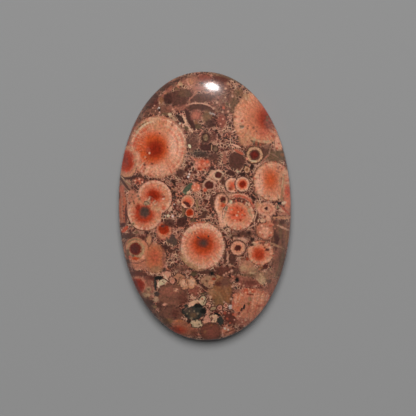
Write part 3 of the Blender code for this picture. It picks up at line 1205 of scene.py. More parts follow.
def paint_lower_right(p):
    """A salmon mass, and over it an orange-hearted orb with a pale halo."""
    p.patch(12.4, -9.6, 1.6, 3.3, "mauve")
    p.patch(11.7, -8.1, 0.6, 1.3, "mauve+rose", 0.6, 0.7)
    p.patch(12.8, -9.2, 0.8, 2.0, "umber+plum", 0.7, 0.85)
    p.patch(11.0, -13.9, 1.1, 1.1, "rose+mauve")
    p.patch(7.0, -13.0, 2.3, 1.0, "rose+wine", 0.4, 0.85)
    p.dots(
        "rose+blush", (6.0, -12.4, 0.25), (6.8, -12.2, 0.2), (8.3, -13.6, 0.25), (5.6, -13.2, 0.25),
        (6.3, -13.5, 0.2)
    )
    rim = {0.0: "rose+salmon", 0.85: "rose+salmon", 0.95: "rose+coral"}
    p.orb(7.6, -16.9, 3.5, 3.2, rim, 0.1, "broken", fibres=True)
    p.patch(8.9, -16.0, 1.6, 2.0, "salmon", 0.7, 0.8)
    p.patch(10.2, -16.0, 0.7, 1.9, "rose+brick", 0.6, 0.8)
    p.patch(5.4, -15.5, 1.0, 1.1, "orange+salmon", 0.6)
    p.patch(5.3, -17.2, 0.9, 0.8, "orange+salmon", 0.6, 0.7)
    p.patch(9.6, -14.3, 1.3, 0.6, "rose+mauve", 0.7, 0.85)
    p.patch(5.5, -14.4, 1.2, 0.5, "rose+mauve", 0.7, 0.8)
    pale_columns = (
        (4.9, -17.0), (5.6, -16.3), (7.8, -17.7), (8.6, -16.6), (9.2, -18.4), (10.1, -16.9)
    )
    for right, low in pale_columns:
        p.wisp((right + 0.2, -14.8), (right - 0.3, low), 0.45, "blush+salmon", 0.95, 0.7)
    red_columns = ((5.2, -18.6), (7.1, -18.2), (8.2, -19.2), (9.7, -18.0))
    for right, low in red_columns:
        p.wisp((right + 0.3, -16.0), (right - 0.3, low), 0.4, "rose+brick", 0.95, 0.55)
    p.patch(7.2, -15.7, 0.35, 0.5, "tan+olive", 0.5, 0.8)
    p.patch(7.0, -16.5, 0.4, 0.35, "tawny")
    p.patch(7.1, -14.4, 1.3, 0.5, "coral+brick", 0.5, 0.85)
    p.dots(
        "blush+salmon", (6.6, -14.6, 0.2), (7.3, -14.5, 0.18), (7.7, -14.2, 0.18), (8.0, -14.9, 0.2)
    )
    p.streak((6.7, -14.85), (7.9, -15.05), 0.3, "garnet+wine")
    p.streak((6.35, -16.6), (6.2, -17.45), 0.42, "plum+night")
    p.streak((6.0, -17.2), (5.7, -17.85), 0.42, "plum+night")
    p.streak((5.55, -17.85), (5.2, -18.35), 0.4, "plum+night")
    p.patch(8.9, -16.9, 0.7, 0.35, "rose+brick", 0.6, 0.8)
    p.patch(6.3, -19.5, 1.9, 0.8, "mauve+rose")
    p.dots(
        "blush+rose", (5.9, -19.6, 0.22), (6.6, -19.3, 0.2), (5.2, -19.0, 0.2), (7.4, -19.1, 0.2)
    )
    p.patch(7.4, -13.0, 1.6, 0.5, "umber+wine", 0.8, 0.8)
    p.patch(7.2, -11.8, 2.2, 0.5, "umber+olive", 0.8, 0.85)
    p.patch(9.5, -11.9, 1.5, 1.2, "taupe+tan", 0.9, 0.75)
    p.patch(6.9, -10.2, 1.75, 1.6, "taupe+salmon", 0.6)
    p.patch(6.3, -10.5, 0.9, 0.8, "sand+tan", 0.9, 0.7)
    p.patch(10.9, -11.6, 1.3, 1.2, "taupe+mauve", 0.7)
    p.patch(11.6, -12.9, 1.1, 0.9, "mauve+rose", 0.7, 0.85)
    p.patch(6.0, -12.3, 2.0, 0.6, "rose+mauve", 0.7, 0.8)
    p.patch(10.5, -12.9, 0.6, 0.5, "mauve+slate")
    p.patch(7.8, -10.9, 1.3, 0.7, "tan+taupe", 0.7)
    p.patch(7.7, -11.4, 1.1, 0.25, "sand+tan", 0.8, 0.85)
    p.patch(9.0, -12.1, 1.1, 0.7, "tan+taupe", 0.8)
    p.patch(9.4, -12.7, 0.85, 0.85, "sand", 0.9, 0.8)
    p.wisp((8.9, -11.3), (9.9, -13.1), 0.5, "sand+tan", 0.9, 0.8)
    p.wisp((8.3, -12.3), (9.6, -13.4), 0.4, "sand+tan", 0.9, 0.8)
    rim = {0.0: "salmon", 0.6: "salmon", 0.75: "blush+salmon", 0.88: "salmon", 0.95: "plum+umber"}
    p.orb(9.2, -8.0, 2.35, 2.2, rim, 0.04, fibres=True)
    p.patch(8.85, -8.2, 1.65, 1.5, "orange+coral", 0.4)
    p.patch(8.9, -8.3, 1.2, 1.1, "brick", 0.6)
    p.patch(10.3, -8.5, 0.7, 0.7, "coral+salmon", 0.6, 0.8)
    p.wisp((7.5, -7.0), (7.4, -9.4), 0.5, "salmon", 0.8, 0.8)
    p.patch(10.3, -7.5, 0.5, 0.35, "wine+plum", 0.4)
    p.dots("wine+garnet", (9.9, -7.15, 0.25), (9.7, -6.7, 0.2))
    p.wisp((9.4, -10.8), (10.5, -9.7), 0.85, "wine+plum", 0.6)
    p.patch(9.2, -10.5, 0.5, 0.35, "tawny", 0.7)
    p.patch(7.0, -9.0, 0.4, 0.35, "brick+wine")
    p.patch(9.6, -6.35, 0.9, 0.3, "umber")
    p.patch(5.2, -12.5, 0.5, 0.55, "night", 0.6)


def paint_right(p):
    """The poppies along the right edge, from the top down."""
    rim = {0.0: "salmon", 0.85: "salmon", 0.95: "salmon+tan"}
    p.orb(9.3, 14.4, 4.3, 4.7, rim, 0.05, fibres=True)
    p.patch(6.1, 14.3, 0.9, 2.4, "blush+salmon", 0.6, 0.8)
    p.patch(10.8, 14.6, 3.9, 4.4, "orange+rose", 0.75, 0.9)
    p.patch(11.0, 14.6, 2.6, 3.0, "brick", 0.75, 0.9)
    p.patch(10.7, 14.3, 1.7, 1.8, "brick+wine", 0.7)
    p.patch(11.2, 13.5, 1.3, 1.6, "wine+rose", 0.6)
    p.patch(9.8, 12.1, 1.3, 0.8, "coral+rose", 0.6, 0.7)
    p.dots("olive+umber", (10.75, 14.7, 0.3), (10.7, 14.15, 0.3))
    p.patch(7.2, 18.1, 0.7, 0.8, "tan+olive", 0.6, 0.9)
    p.patch(7.1, 11.3, 1.35, 1.6, "salmon+tan", 0.3)
    p.dots("rose+umber", (7.3, 10.6, 0.25), (7.9, 11.2, 0.2), (7.4, 9.8, 0.25), (8.9, 12.3, 0.22))
    p.patch(9.2, 10.25, 1.5, 0.75, "plum+umber", 0.4)
    p.arc(10.4, 14.8, 4.25, 0.55, "sand+tan", (9.7, 10.9), 2.0, 0.4)
    p.arc(10.4, 14.8, 4.65, 0.35, "night+olive", (9.2, 10.5), 1.7, 0.4)
    p.patch(12.7, 10.2, 0.95, 1.9, "umber", 0.2)
    p.patch(12.6, 10.3, 0.8, 1.7, "blush+salmon", 0.25)
    p.patch(11.7, 11.45, 0.35, 0.3, "wine+rose")
    p.dots("moss+pearl", (6.6, 13.0, 0.3))
    p.patch(6.5, 13.15, 0.5, 0.35, "moss+umber")
    p.dots(
        "umber+rose", (7.4, 12.8, 0.22), (7.55, 13.25, 0.22), (8.4, 12.95, 0.25), (5.4, 14.7, 0.38),
        (7.1, 14.2, 0.15)
    )
    p.dots("brick+rose", (6.5, 14.1, 0.3), (12.6, 10.2, 0.22), (12.3, 9.4, 0.3))
    p.patch(10.5, 8.9, 1.5, 1.3, "umber", 0.4)
    p.patch(11.9, 8.0, 1.9, 1.3, "umber+olive", 0.5, 0.9)
    p.patch(10.6, 9.8, 0.65, 0.55, "mauve+taupe", 0.6)
    p.patch(13.0, 8.3, 1.3, 1.1, "umber+olive", 0.4)
    p.patch(13.2, 8.3, 0.4, 0.4, "tawny")
    p.arc(8.6, 8.9, 2.35, 0.35, "taupe+blush", (9.0, 6.6), 2.2, 0.5)
    p.streak((9.6, 6.9), (11.0, 8.6), 0.35, "taupe+rose", 0.5, 0.9)
    p.streak((10.8, 8.0), (11.3, 9.9), 0.3, "taupe", 0.4)
    p.streak((11.1, 8.7), (12.6, 7.8), 0.3, "taupe", 0.6, 0.7)
    rings = {
        0.0: "wine+garnet", 0.35: "wine", 0.5: "umber", 0.6: "tan", 0.72: "tan+blush", 0.8: "tan",
        0.88: "plum+umber"
    }
    p.orb(8.55, 8.4, 1.65, 1.62, rings, 0.06)
    p.patch(7.2, 7.8, 0.35, 0.25, "coral+blush")
    p.streak((7.7, 7.5), (8.9, 7.3), 0.3, "cream+sand", 0.4)
    rim = {0.0: "salmon", 0.7: "salmon", 0.86: "salmon+blush", 0.93: "salmon+tan", 0.965: "plum"}
    p.orb(11.4, 3.95, 3.25, 3.45, rim, 0.03, fibres=True)
    p.patch(9.3, 3.5, 0.95, 2.6, "blush", 0.6)
    p.patch(11.1, 4.2, 2.1, 2.7, "orange+salmon", 0.75)
    p.patch(11.2, 4.2, 1.5, 2.2, "orange", 0.9, 0.9)
    p.patch(13.1, 3.9, 0.9, 2.2, "tan+salmon", 0.6)
    p.streak((13.4, 5.4), (12.9, 2.6), 0.3, "sand+tan", 0.5)
    p.streak((13.1, 5.0), (12.8, 3.0), 0.25, "rose", 0.6, 0.7)
    p.streak((9.3, 5.2), (9.2, 4.2), 0.2, "rose", 0.5)
    p.dots(
        "umber+rose", (12.4, 6.1, 0.25), (12.2, 5.6, 0.22), (13.0, 5.95, 0.25), (12.7, 6.3, 0.2),
        (12.5, 5.4, 0.18), (10.9, 1.35, 0.25), (13.7, 0.6, 0.22)
    )
    p.patch(13.9, 0.9, 0.8, 2.6, "salmon+coral")
    p.patch(13.9, 2.3, 0.6, 1.3, "brick+coral")
    p.patch(13.6, -1.2, 1.0, 0.9, "rose+salmon", 0.6)
    p.patch(12.6, -5.2, 1.9, 3.6, "mauve", 0.4)
    bands = (
        (11.7, -4.2, "plum"),
        (12.5, -2.6, "umber+olive"),
        (12.9, -4.9, "umber"),
        (13.5, -3.4, "tawny"),
    )
    for right, top, tone in bands:
        p.wisp((right, top), (right + 0.1, top - 3.6), 0.7, tone, 0.9, 0.75)
    p.patch(12.9, -2.9, 0.6, 0.5, "plum+umber")
    p.patch(12.0, -5.8, 0.5, 1.2, "plum")
    p.wisp((10.6, -6.3), (13.2, -7.5), 0.5, "tan+taupe", 0.8, 0.9)


def paint_centre(p):
    """The poppy in the middle, with its purple core, and its neighbours."""
    rim = {0.0: "salmon", 0.7: "salmon", 0.8: "salmon+blush", 0.9: "blush", 0.965: "plum+umber"}
    p.orb(-0.5, -6.65, 3.9, 4.1, rim, 0.03, fibres=True)
    p.arc(-0.5, -6.7, 3.35, 0.9, "blush", (0.0, -3.4), 3.1, 0.6, 0.85, "ragged")
    p.arc(-0.5, -6.65, 3.95, 0.3, "coral+rose", (-1.3, -2.8), 1.6, 0.6, 0.8, "ragged")
    p.arc(-0.5, -6.7, 3.75, 1.0, "tan", (-2.6, -9.6), 2.6, 0.5)
    p.streak((-3.6, -9.3), (-1.6, -10.6), 0.5, "tan+olive", 0.6, 0.8)
    p.patch(-0.4, -6.5, 3.0, 3.0, "coral")
    p.patch(-0.4, -6.35, 2.4, 2.25, "brick+orange", 0.45)
    p.patch(-0.35, -6.3, 1.8, 1.4, "brick+wine", 0.8, 0.8)
    p.patch(-0.45, -6.1, 1.4, 1.05, "umber+wine", 0.9, 0.85)
    p.patch(-0.35, -6.25, 0.9, 0.75, "plum+slate", 0.95, 0.9)
    p.streak((-1.5, -5.05), (-0.9, -5.45), 0.3, "plum+slate", 0.6)
    p.dots("plum", (0.5, -5.1, 0.25), (-2.2, -4.6, 0.2), (-1.7, -4.4, 0.15))
    p.orb(
        -2.85, 0.75, 1.25, 1.3,
        {0.0: "brick+coral", 0.3: "coral", 0.7: "salmon", 0.82: "blush+salmon", 0.92: "umber"}, 0.08
    )
    p.wisp((-3.6, 0.85), (-2.4, -0.15), 0.85, "plum+wine", 0.6)
    p.wisp((-3.9, 0.4), (-3.0, -0.35), 0.4, "blush", 0.6)
    p.orb(-2.5, -1.1, 0.9, 0.9, {0.0: "garnet", 0.6: "brick", 0.75: "salmon", 0.9: "plum"}, 0.1)
    p.dots("blush+salmon", (-2.25, -1.75, 0.3))
    p.patch(-3.6, -0.9, 0.35, 0.9, "olive+mauve", 0.4)
    p.patch(-2.0, -2.4, 0.65, 0.3, "olive+plum", 0.4)
    p.patch(-3.9, -2.6, 1.0, 1.0, "plum", 0.3)
    p.wisp((-1.4, 1.4), (-1.2, -0.8), 0.5, "tan+olive", 0.7, 0.9)
    p.grain(-0.25, -1.4, 0.9, 0.85, "plum+umber", 0.5)
    p.patch(-1.9, 10.8, 1.4, 2.0, "umber", 0.5, 0.85)
    p.patch(-0.7, 8.8, 2.2, 0.75, "plum+slate", 0.7, 0.95)
    p.patch(1.7, 8.3, 1.6, 1.1, "plum+umber", 0.7, 0.95)
    p.patch(0.3, 9.8, 1.1, 0.65, "plum", 0.3)
    p.patch(1.7, 11.6, 0.7, 1.0, "umber+wine", 0.5, 0.8)
    p.patch(0.0, 8.4, 1.6, 0.5, "plum+night", 0.8, 0.7)
    p.grain(-0.3, 7.0, 1.4, 1.2, "coral+salmon", 0.5)
    p.grain(0.0, 7.3, 0.9, 0.6, "brick+coral", 0.6)
    p.grain(-0.2, 6.3, 0.8, 0.4, "brick+coral", 0.6)
    p.dots(
        "blush+coral", (-1.2, 7.3, 0.35), (-0.8, 6.9, 0.25), (0.1, 7.1, 0.25), (-1.2, 6.7, 0.2),
        (-0.2, 6.0, 0.2)
    )
    p.dots("garnet", (-0.9, 6.2, 0.35), (-0.4, 6.9, 0.15), (0.2, 6.3, 0.18))
    p.orb(
        0.4, 11.45, 1.0, 1.2, {0.0: "olive", 0.4: "olive+mauve", 0.55: "plum+night", 0.75: "umber"},
        0.25
    )
    p.dots("moss+tan", (0.4, 11.1, 0.25), (0.5, 11.7, 0.2))
    p.streak((-2.55, 10.4), (-2.15, 9.75), 0.45, "cream", 0.4)
    p.orb(2.0, 9.5, 0.6, 0.65, {0.0: "taupe+slate", 0.5: "olive+umber", 0.7: "night+plum"}, 0.2)
    p.streak((1.4, 10.3), (1.3, 9.2), 0.2, "tan", 0.4)
    p.dots(
        "plum+wine", (3.05, 9.4, 0.4), (3.95, 9.45, 0.35), (-1.6, 5.7, 0.5), (-3.0, 6.1, 0.6),
        (-2.9, 7.3, 0.45)
    )
    p.dots(
        "plum+night", (-0.2, 4.7, 0.4), (-1.3, 4.4, 0.4), (0.5, 5.2, 0.3), (-2.0, 7.0, 0.4),
        (1.3, 6.3, 0.3)
    )
    p.patch(5.5, 7.5, 1.6, 1.7, "plum+umber", 0.25)
    p.patch(3.5, 7.9, 0.5, 1.2, "rose+mauve", 0.5, 0.85)
    p.streak((5.1, 9.4), (6.7, 8.5), 0.5, "coral+rose", 0.5)
    p.streak((4.7, 10.3), (6.3, 9.6), 0.4, "blush", 0.5, 0.9)
    p.orb(1.95, 7.35, 0.5, 0.5, {0.0: "tawny", 0.5: "umber", 0.7: "plum"}, 0.2)
    rings = {0.0: "tawny", 0.3: "tawny", 0.5: "tan+blush", 0.75: "tan", 0.85: "night+plum"}
    p.orb(7.2, 5.95, 0.65, 0.68, rings, 0.1)
    p.patch(8.1, 6.4, 0.4, 0.7, "plum+night", 0.4)
    p.patch(6.4, 5.2, 0.9, 0.35, "plum+night")
    p.patch(5.7, 5.65, 0.35, 0.25, "cream+taupe")
    p.patch(4.5, 5.5, 0.9, 0.5, "plum")
    p.streak((-3.6, 2.2), (-2.0, 3.9), 0.95, "moss+night", 0.35)
    p.patch(-3.35, 2.2, 0.4, 0.25, "moss", 0.4)
    p.dots("pearl", (-2.65, 4.95, 0.25), (-2.45, 5.35, 0.2))
    p.patch(1.4, 5.3, 0.55, 0.75, "tan+blush", 0.3)
    p.orb(2.4, 5.15, 1.0, 1.0, {0.0: "wine+plum", 0.5: "wine+plum", 0.7: "blush+sand"}, 0.2)
    p.streak((0.2, 4.7), (1.6, 4.2), 0.25, "blush+sand", 0.5)
    p.patch(-1.4, 3.15, 0.85, 0.8, "coral+salmon", 0.3)
    p.dots("blush", (-1.6, 3.5, 0.22), (-1.0, 3.0, 0.2), (-1.8, 2.8, 0.2))
    p.orb(0.8, 3.5, 1.15, 1.05, {0.0: "plum+wine", 0.6: "plum+wine", 0.78: "blush+taupe"}, 0.2)
    p.patch(3.1, 4.2, 0.4, 1.2, "plum+umber")
    p.dots("coral+brick", (0.1, 2.7, 0.45))
    p.patch(-4.0, 5.5, 1.0, 0.9, "plum+umber", 0.4)


def paint_crown(p):
    """The bright orb right of the middle, its dark cap and the small orbs above it."""
    p.patch(6.3, -4.9, 3.3, 0.9, "plum+umber", 0.7, 0.95)
    p.wisp((4.3, -4.7), (6.8, -5.3), 0.3, "rose+mauve", 0.9, 0.7)
    p.dots("night+plum", (4.4, -5.4, 0.4), (5.6, -5.0, 0.4), (7.3, -4.6, 0.5), (7.8, -5.7, 0.6))
    p.dots("rose+taupe", (5.0, -4.7, 0.2), (6.4, -5.2, 0.2), (8.0, -5.2, 0.35))
    p.patch(6.1, -5.8, 1.4, 0.5, "taupe+blush", 0.5, 0.85)
    p.patch(7.7, -6.5, 0.7, 0.5, "plum", 0.4)
    p.patch(8.3, 1.4, 0.7, 0.8, "plum+night", 0.4)
    p.wisp((7.8, 2.1), (8.9, 0.9), 0.3, "rose+taupe", 0.6, 0.9)
    p.wisp((8.3, 2.2), (8.9, 1.4), 0.25, "olive+taupe", 0.6, 0.9)
    p.patch(1.25, 0.7, 0.35, 1.6, "plum+umber", 0.4)
    p.orb(
        2.8, 0.3, 1.4, 2.1, {0.0: "salmon", 0.5: "salmon", 0.7: "blush+salmon", 0.9: "umber"}, 0.06
    )
    p.patch(2.9, -2.3, 0.75, 1.7, "salmon+blush", 0.4)
    p.wisp((2.3, 1.7), (1.9, -1.0), 0.65, "blush", 0.8, 0.9)
    p.wisp((1.9, -0.3), (3.2, -3.3), 0.6, "blush", 0.8, 0.8)
    p.patch(3.1, 0.1, 0.6, 0.4, "coral+brick")
    p.patch(3.1, 1.0, 0.6, 0.7, "plum+wine", 0.35)
    p.patch(3.2, 0.6, 0.25, 0.25, "olive", 0.5, 0.7)
    rim = {0.0: "salmon", 0.7: "salmon", 0.85: "salmon+blush", 0.93: "blush", 0.96: "plum"}
    p.orb(5.6, -1.6, 2.75, 2.65, rim, 0.03, fibres=True)
    p.patch(5.4, -3.3, 1.9, 0.7, "salmon+blush", 0.8, 0.7)
    p.patch(5.35, -1.3, 1.95, 1.75, "coral", 0.4)
    p.patch(5.3, -1.0, 1.3, 1.0, "coral+orange", 0.7, 0.8)
    p.dots(
        "brick+garnet", (4.9, -1.6, 0.25), (5.9, -2.5, 0.28), (6.7, -1.7, 0.22), (5.5, -0.4, 0.2),
        (6.2, -0.8, 0.2)
    )
    p.dots("salmon+blush", (4.5, -0.7, 0.25), (5.6, -1.1, 0.2), (6.2, -1.6, 0.2), (5.0, -2.5, 0.25))
    p.arc(5.7, -0.9, 2.5, 0.6, "rose+coral", (6.8, 1.2), 2.7, 0.5, field="ragged")
    p.arc(5.6, -1.0, 2.9, 0.35, "blush+salmon", (5.9, 1.8), 2.4, 0.6, 0.85, "ragged")
    p.arc(5.6, -1.1, 1.95, 0.85, "plum+wine", (5.8, 0.9), 1.6, 0.4)
    p.dots("rose+taupe", (5.3, 0.9, 0.2), (6.2, 0.8, 0.2))
    p.streak((7.35, 0.6), (8.3, -1.9), 0.35, "blush+tan", 0.4)
    p.patch(7.4, -0.6, 0.32, 0.55, "moss+tan")
    p.streak((6.9, 0.4), (7.4, -0.3), 0.3, "olive+taupe", 0.4)
    p.streak((3.8, 0.0), (3.3, -1.5), 0.5, "moss+taupe", 0.4)
    p.dots("cream+moss", (4.45, 0.55, 0.45))
    p.dots("cream", (4.45, 0.6, 0.3))
    p.dots("blush", (5.35, -1.7, 0.28))
    p.wisp((7.1, -0.3), (7.9, -2.1), 0.55, "sand+olive", 0.7, 0.9)
    rim = {0.0: "coral+brick", 0.25: "coral", 0.5: "salmon", 0.75: "blush", 0.92: "plum"}
    p.orb(4.75, 3.4, 1.5, 1.45, rim, 0.06)
    rings = {
        0.0: "wine+garnet", 0.35: "garnet", 0.45: "coral", 0.62: "salmon", 0.75: "blush",
        0.92: "plum"
    }
    p.orb(6.4, 3.55, 1.4, 1.45, rings, 0.06)
    p.dots("umber+brick", (4.35, 2.8, 0.5), (5.2, 2.5, 0.25), (5.6, 2.1, 0.25))
    p.dots("plum", (8.15, 0.4, 0.3), (8.7, -1.7, 0.4), (9.0, -2.3, 0.3))
    p.streak((8.9, -2.1), (7.4, -3.6), 0.45, "plum+umber", 0.4)
    p.streak((8.8, -0.9), (8.2, -2.9), 0.25, "blush+taupe", 0.4)
    p.streak((8.2, -2.4), (8.5, -4.5), 0.25, "blush+taupe", 0.4)
    p.streak((7.2, -3.9), (8.8, -3.1), 0.25, "blush+taupe", 0.4)
    p.orb(
        10.35, -0.7, 1.65, 1.25,
        {0.0: "rose+taupe", 0.35: "salmon+blush", 0.55: "rose+salmon", 0.8: "blush+salmon"}, 0.2
    )
    p.patch(8.9, -0.1, 0.45, 0.6, "salmon+tan")
    p.patch(10.35, -0.6, 0.35, 0.4, "wine+night", 0.4)
    p.streak((9.4, 0.5), (10.1, 0.5), 0.2, "umber+plum", 0.4)
    p.grain(10.1, -4.1, 1.75, 2.15, "plum+umber", 0.1)
    p.grain(10.1, -4.1, 1.6, 2.0, "salmon+rose", 0.2)
    p.patch(10.0, -4.5, 1.0, 1.2, "salmon+blush", 0.7, 0.9)
    p.dots(
        "blush", (9.5, -3.5, 0.25), (10.4, -4.0, 0.25), (9.2, -4.6, 0.25), (10.0, -5.3, 0.25),
        (11.0, -4.7, 0.22)
    )
    p.dots(
        "coral+rose", (10.2, -3.1, 0.3), (9.6, -5.0, 0.25), (10.8, -5.2, 0.25), (9.0, -3.9, 0.22)
    )
    p.piece(9.45, -2.55, 0.5, 0.5, "tan+blush")
    p.patch(10.6, -2.3, 0.6, 0.6, "salmon+blush")
    p.patch(10.95, -3.55, 0.4, 0.28, "brick+rose")
    p.patch(12.5, 0.2, 0.45, 0.35, "night", 0.35)
    p.patch(12.2, -0.4, 0.3, 0.3, "moss+olive")
    p.patch(13.3, 0.3, 0.5, 0.35, "cream+blush")
    p.wisp((12.6, -0.1), (14.2, -1.8), 0.45, "brick+rose", 0.7, 0.9)
    p.streak((12.3, -0.8), (13.4, -1.3), 0.35, "tan+blush", 0.4)
    p.streak((13.1, 2.8), (12.9, 0.5), 0.45, "tan+olive", 0.4)
    p.patch(11.6, -2.0, 0.45, 0.35, "plum+umber")
    p.patch(11.6, -3.0, 0.35, 0.45, "mauve+wine")
    p.wisp((11.2, -2.1), (14.8, -2.3), 0.5, "tan+salmon", 0.7, 0.9)
    p.wisp((12.0, -3.4), (14.2, -4.5), 0.45, "taupe+blush", 0.7, 0.8)
    rings = {0.0: "wine+night", 0.3: "wine+plum", 0.45: "salmon", 0.7: "blush+salmon", 0.9: "plum"}
    p.orb(5.45, -7.15, 1.5, 1.45, rings, 0.06)


def paint_veins(p):
    """Pale lines that cross everything else."""
    p.wisp((-4.6, 15.4), (-3.0, 13.9), 1.0, "night+plum", 0.5, 0.9)
    p.wisp((-3.5, 15.4), (-2.7, 13.9), 0.45, "blush+sand", 0.6, 0.95)
    p.wisp((-3.1, 14.3), (-1.7, 12.2), 0.45, "blush+sand", 0.6, 0.95)
    p.wisp((-2.8, 14.2), (-3.6, 13.2), 0.35, "blush+sand", 0.6, 0.95)
    p.patch(-2.9, 13.1, 0.45, 0.6, "plum+olive")
    p.dots("cream", (-3.9, 13.9, 0.25))
    p.streak((3.7, -7.6), (3.7, -10.0), 0.3, "mauve+blush")
    p.streak((3.0, -4.0), (3.9, -5.1), 0.2, "blush+taupe")
    p.streak((3.4, -1.0), (3.0, -2.6), 0.25, "sand+taupe")
    p.streak((3.0, -2.2), (3.5, -3.4), 0.2, "blush")


def paint_rim(p):
    """Painted shade: a darker band along parts of the edge, where the steep edge lies in shade."""
    p.arc(0.4, 10.5, 11.65, 0.9, "night+umber", (-5.5, 20.6), 5.6, 0.9, 0.75, "ragged")
    p.arc(7.3, 4.6, 20.7, 1.3, "night+umber", (-9.9, 16.2), 5.0, 0.9, 0.7, "broken")
    p.arc(10.25, -3.1, 23.95, 1.0, "night+umber", (-13.5, -8.2), 3.4, 0.9, 0.75, "broken")
    p.arc(10.25, -3.1, 24.1, 0.5, "plum+wine", (-12.0, -12.4), 4.0, 0.7, 0.6, "ragged")
    p.arc(10.25, -3.1, 23.9, 1.6, "night+umber", (-10.2, -16.2), 2.6, 0.9, 0.75, "broken")
    p.arc(1.55, -9.0, 13.45, 1.1, "night+umber", (-7.2, -19.3), 5.0, 0.9, 0.75, "broken")
    p.arc(-7.3, -4.6, 20.6, 0.9, "umber+olive", (12.6, -9.9), 3.6, 0.8, 0.8, "ragged")
    p.arc(0.0, 10.6, 11.7, 0.5, "umber+olive", (4.0, 21.5), 4.4, 0.8, 0.8, "ragged")


REGIONS = (
    paint_top_end,
    paint_great_poppy,
    paint_left_edge,
    paint_left_pair,
    paint_lower_left,
    paint_clasts,
    paint_bottom,
    paint_lower_right,
    paint_right,
    paint_centre,
    paint_crown,
    paint_veins,
    # Painted shade along parts of the edge comes last.
    paint_rim,
)


def new_material(name):
    """An empty material with nodes."""
    material = bpy.data.materials.new(name)
    material.use_nodes = True
    return material


# The stone mirrors a little by itself, and its gloss, a coat, mirrors more.
JASPER_IOR = 1.54
STONE_SHINE = 0.35
# The gloss is thinner and the stone rougher where the wear, a slow noise, is high.
WEAR_SCALE = 1.4
GLOSS = 0.95
GLOSS_WEAR = 0.7
ROUGHNESS_WEAR = 0.06


def jasper_material(form, colours, polish):
    """Polished orbicular jasper, glossy on the dome and ground matt behind."""
    material = new_material("polished_jasper")
    jasper = Jasper(material.node_tree, Palette(colours), form.wall_top)
    for region in REGIONS:
        jasper.add_region(region)
    jasper.add_fibres()
    jasper.add_grain()
    wear = jasper.noise_amount(jasper.swirled, WEAR_SCALE, detail=3.0, roughness=0.6)
    back = jasper.math("MAXIMUM", 1.0 - jasper.height / (form.chamfer / MM), 0.0)
    rough = polish.dome_roughness + back * (polish.back_roughness - polish.dome_roughness)
    sockets = {
        "Base Color": jasper.colour,
        "Roughness": rough + wear * ROUGHNESS_WEAR,
        "IOR": JASPER_IOR,
        "Specular IOR Level": STONE_SHINE,
        "Coat Weight": (1.0 - back) * (GLOSS - wear * GLOSS_WEAR),
        "Coat Roughness": polish.gloss_roughness,
    }
    surface = jasper.node("BsdfPrincipled", {}, sockets)
    jasper.node("OutputMaterial", {}, {"Surface": surface.outputs[0]})
    return material


class CABOCHON_OT_stone(bpy.types.Operator):
    """Builds the polished stone with its pits and markings"""

    bl_idname = "cabochon.stone"
    bl_label = "Polished Stone"

    def execute(self, context):
        scene = context.scene
        form = scene.stone_form
        stone = bpy.data.objects.new("polished_stone", stone_mesh(form))
        scene.collection.objects.link(stone)
        material = jasper_material(form, scene.jasper_colours, scene.polish_settings)
        stone.data.materials.append(material)
        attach(stone, "root")
        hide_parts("stone")
        return {"FINISHED"}


def build_floor(studio):
    """A plain pale floor, a hair under the stone's back."""
    half = FLOOR_SIZE / 2
    flat = [(-half, -half), (half, -half), (half, half), (-half, half)]
    corners = [(x, y, -FLOOR_GAP) for x, y in flat]
    mesh = bpy.data.meshes.new("floor")
    mesh.from_pydata(corners, [], [(0, 1, 2, 3)])
    floor = bpy.data.objects.new("floor", mesh)
    bpy.context.scene.collection.objects.link(floor)
    material = new_material("pale_floor")
    shader = Shader(material.node_tree)
    colour = (*(linear(level) for level in studio.floor_colour), 1.0)
    sockets = {
        "Base Color": colour,
        "Roughness": FLOOR_ROUGHNESS,
        "Specular IOR Level": FLOOR_SHINE,
    }
    surface = shader.node("BsdfPrincipled", {}, sockets)
    shader.node("OutputMaterial", {}, {"Surface": surface.outputs[0]})
    mesh.materials.append(material)


def build_sky(studio):
    """Light from all round, brighter towards the horizon and most of all at the two sides."""
    world = bpy.data.worlds.new("studio_sky")
    bpy.context.scene.world = world
    world.use_nodes = True
    shader = Shader(world.node_tree)
    direction = shader.node("TexCoord").outputs["Generated"]
    parts = shader.node("SeparateXYZ", {}, {0: direction}).outputs
    across = Amount(shader, parts[0])
    side = across * across * SKY_AT_SIDES + SKY_ALL_ROUND
    stops = [(place, (level, level, level, 1.0)) for place, level in SKY_LEVELS.items()]
    ramp = shader.ramp(parts[2], stops)
    sides = shader.node("CombineColor", {}, {0: side, 1: side, 2: side}).outputs[0]
    colour = shader.mix(1.0, ramp.outputs["Color"], sides, "MULTIPLY")
    light = shader.node("Background", {}, {"Color": colour, "Strength": studio.sky_power})
    shader.node("OutputWorld", {}, {"Surface": light.outputs[0]})


def build_camera(studio):
    """A camera that looks straight down on the stone."""
    data = bpy.data.cameras.new("camera")
    data.lens = LENS_MM
    data.sensor_width = SENSOR_MM
    data.clip_start = CLIP_START
    camera = bpy.data.objects.new("camera", data)
    bpy.context.scene.collection.objects.link(camera)
    right, above = studio.aim
    turn = studio.roll
    x = right * math.cos(turn) - above * math.sin(turn)
    y = right * math.sin(turn) + above * math.cos(turn)
    camera.location = (x, y, OUTLINE_HEIGHT + studio.view_width * LENS_MM / SENSOR_MM)
    camera.rotation_euler = (0.0, 0.0, turn)
    bpy.context.scene.camera = camera
    return camera


def build_lamp(name, power, size, place, target):
    """A round lamp that faces its target."""
    data = bpy.data.lights.new(name, "AREA")
    data.shape = "DISK"
    data.size = size
    data.energy = power
    lamp = bpy.data.objects.new(name, data)
    bpy.context.scene.collection.objects.link(lamp)
    lamp.location = place
    lamp.rotation_euler = (place - target).to_track_quat("Z", "Y").to_euler()
    return lamp


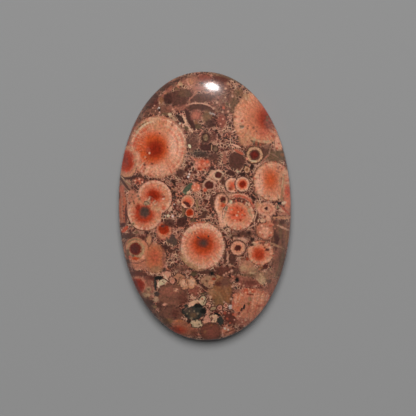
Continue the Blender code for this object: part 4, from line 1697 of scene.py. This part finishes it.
def build_key(studio):
    """The large soft lamp, which the polish doesn't mirror."""
    aim = Vector((0.0, math.sin(studio.key_lean), math.cos(studio.key_lean)))
    key = build_lamp("key", studio.key_power, studio.key_size, aim * KEY_DISTANCE, Vector())
    key.visible_glossy = False


def build_glint(studio, form, camera):
    """The lamp that the dome mirrors to the camera at the glint. It adds no diffuse light."""
    dome = Dome(form)
    x, y = studio.glint
    spot = Vector((x, y, dome.height_at(x, y)))
    normal = dome.normal_at(x, y)
    to_camera = (camera.location - spot).normalized()
    to_lamp = (2 * normal.dot(to_camera) * normal - to_camera).normalized()
    place = spot + to_lamp * GLINT_DISTANCE
    glint = build_lamp("glint", studio.glint_power, studio.glint_size, place, spot)
    glint.visible_diffuse = False


class CABOCHON_OT_studio(bpy.types.Operator):
    """Sets up the pale floor, the soft light and the camera overhead"""

    bl_idname = "cabochon.studio"
    bl_label = "Studio"

    def execute(self, context):
        studio = context.scene.studio_settings
        build_floor(studio)
        build_sky(studio)
        build_key(studio)
        build_glint(studio, context.scene.stone_form, build_camera(studio))
        context.scene.view_settings.view_transform = "Standard"
        return {"FINISHED"}


class CABOCHON_PT_panel(bpy.types.Panel):
    """Sizes, colours and finish of the cabochon"""

    bl_label = "Poppy Jasper Cabochon"
    bl_space_type = "VIEW_3D"
    bl_region_type = "UI"
    bl_category = "Cabochon"

    def draw(self, context):
        for group in SETTINGS:
            settings = getattr(context.scene, group)
            box = self.layout.box()
            for name in settings.__annotations__:
                box.prop(settings, name)
        self.layout.operator("cabochon.stone")
        self.layout.operator("cabochon.studio")


# The scene's groups of settings, by the names that it keeps them under.
SETTINGS = {
    "stone_form": StoneForm,
    "jasper_colours": JasperColours,
    "polish_settings": PolishSettings,
    "studio_settings": StudioSettings,
}
CLASSES = (*SETTINGS.values(), CABOCHON_OT_stone, CABOCHON_OT_studio, CABOCHON_PT_panel)


def register():
    for kind in CLASSES:
        bpy.utils.register_class(kind)
    for name, group in SETTINGS.items():
        setattr(bpy.types.Scene, name, PointerProperty(type=group))


def unregister():
    for name in SETTINGS:
        delattr(bpy.types.Scene, name)
    for kind in reversed(CLASSES):
        bpy.utils.unregister_class(kind)


def main():
    register()
    bpy.ops.cabochon.studio()
    bpy.ops.cabochon.stone()


if __name__ == "__main__":
    main()
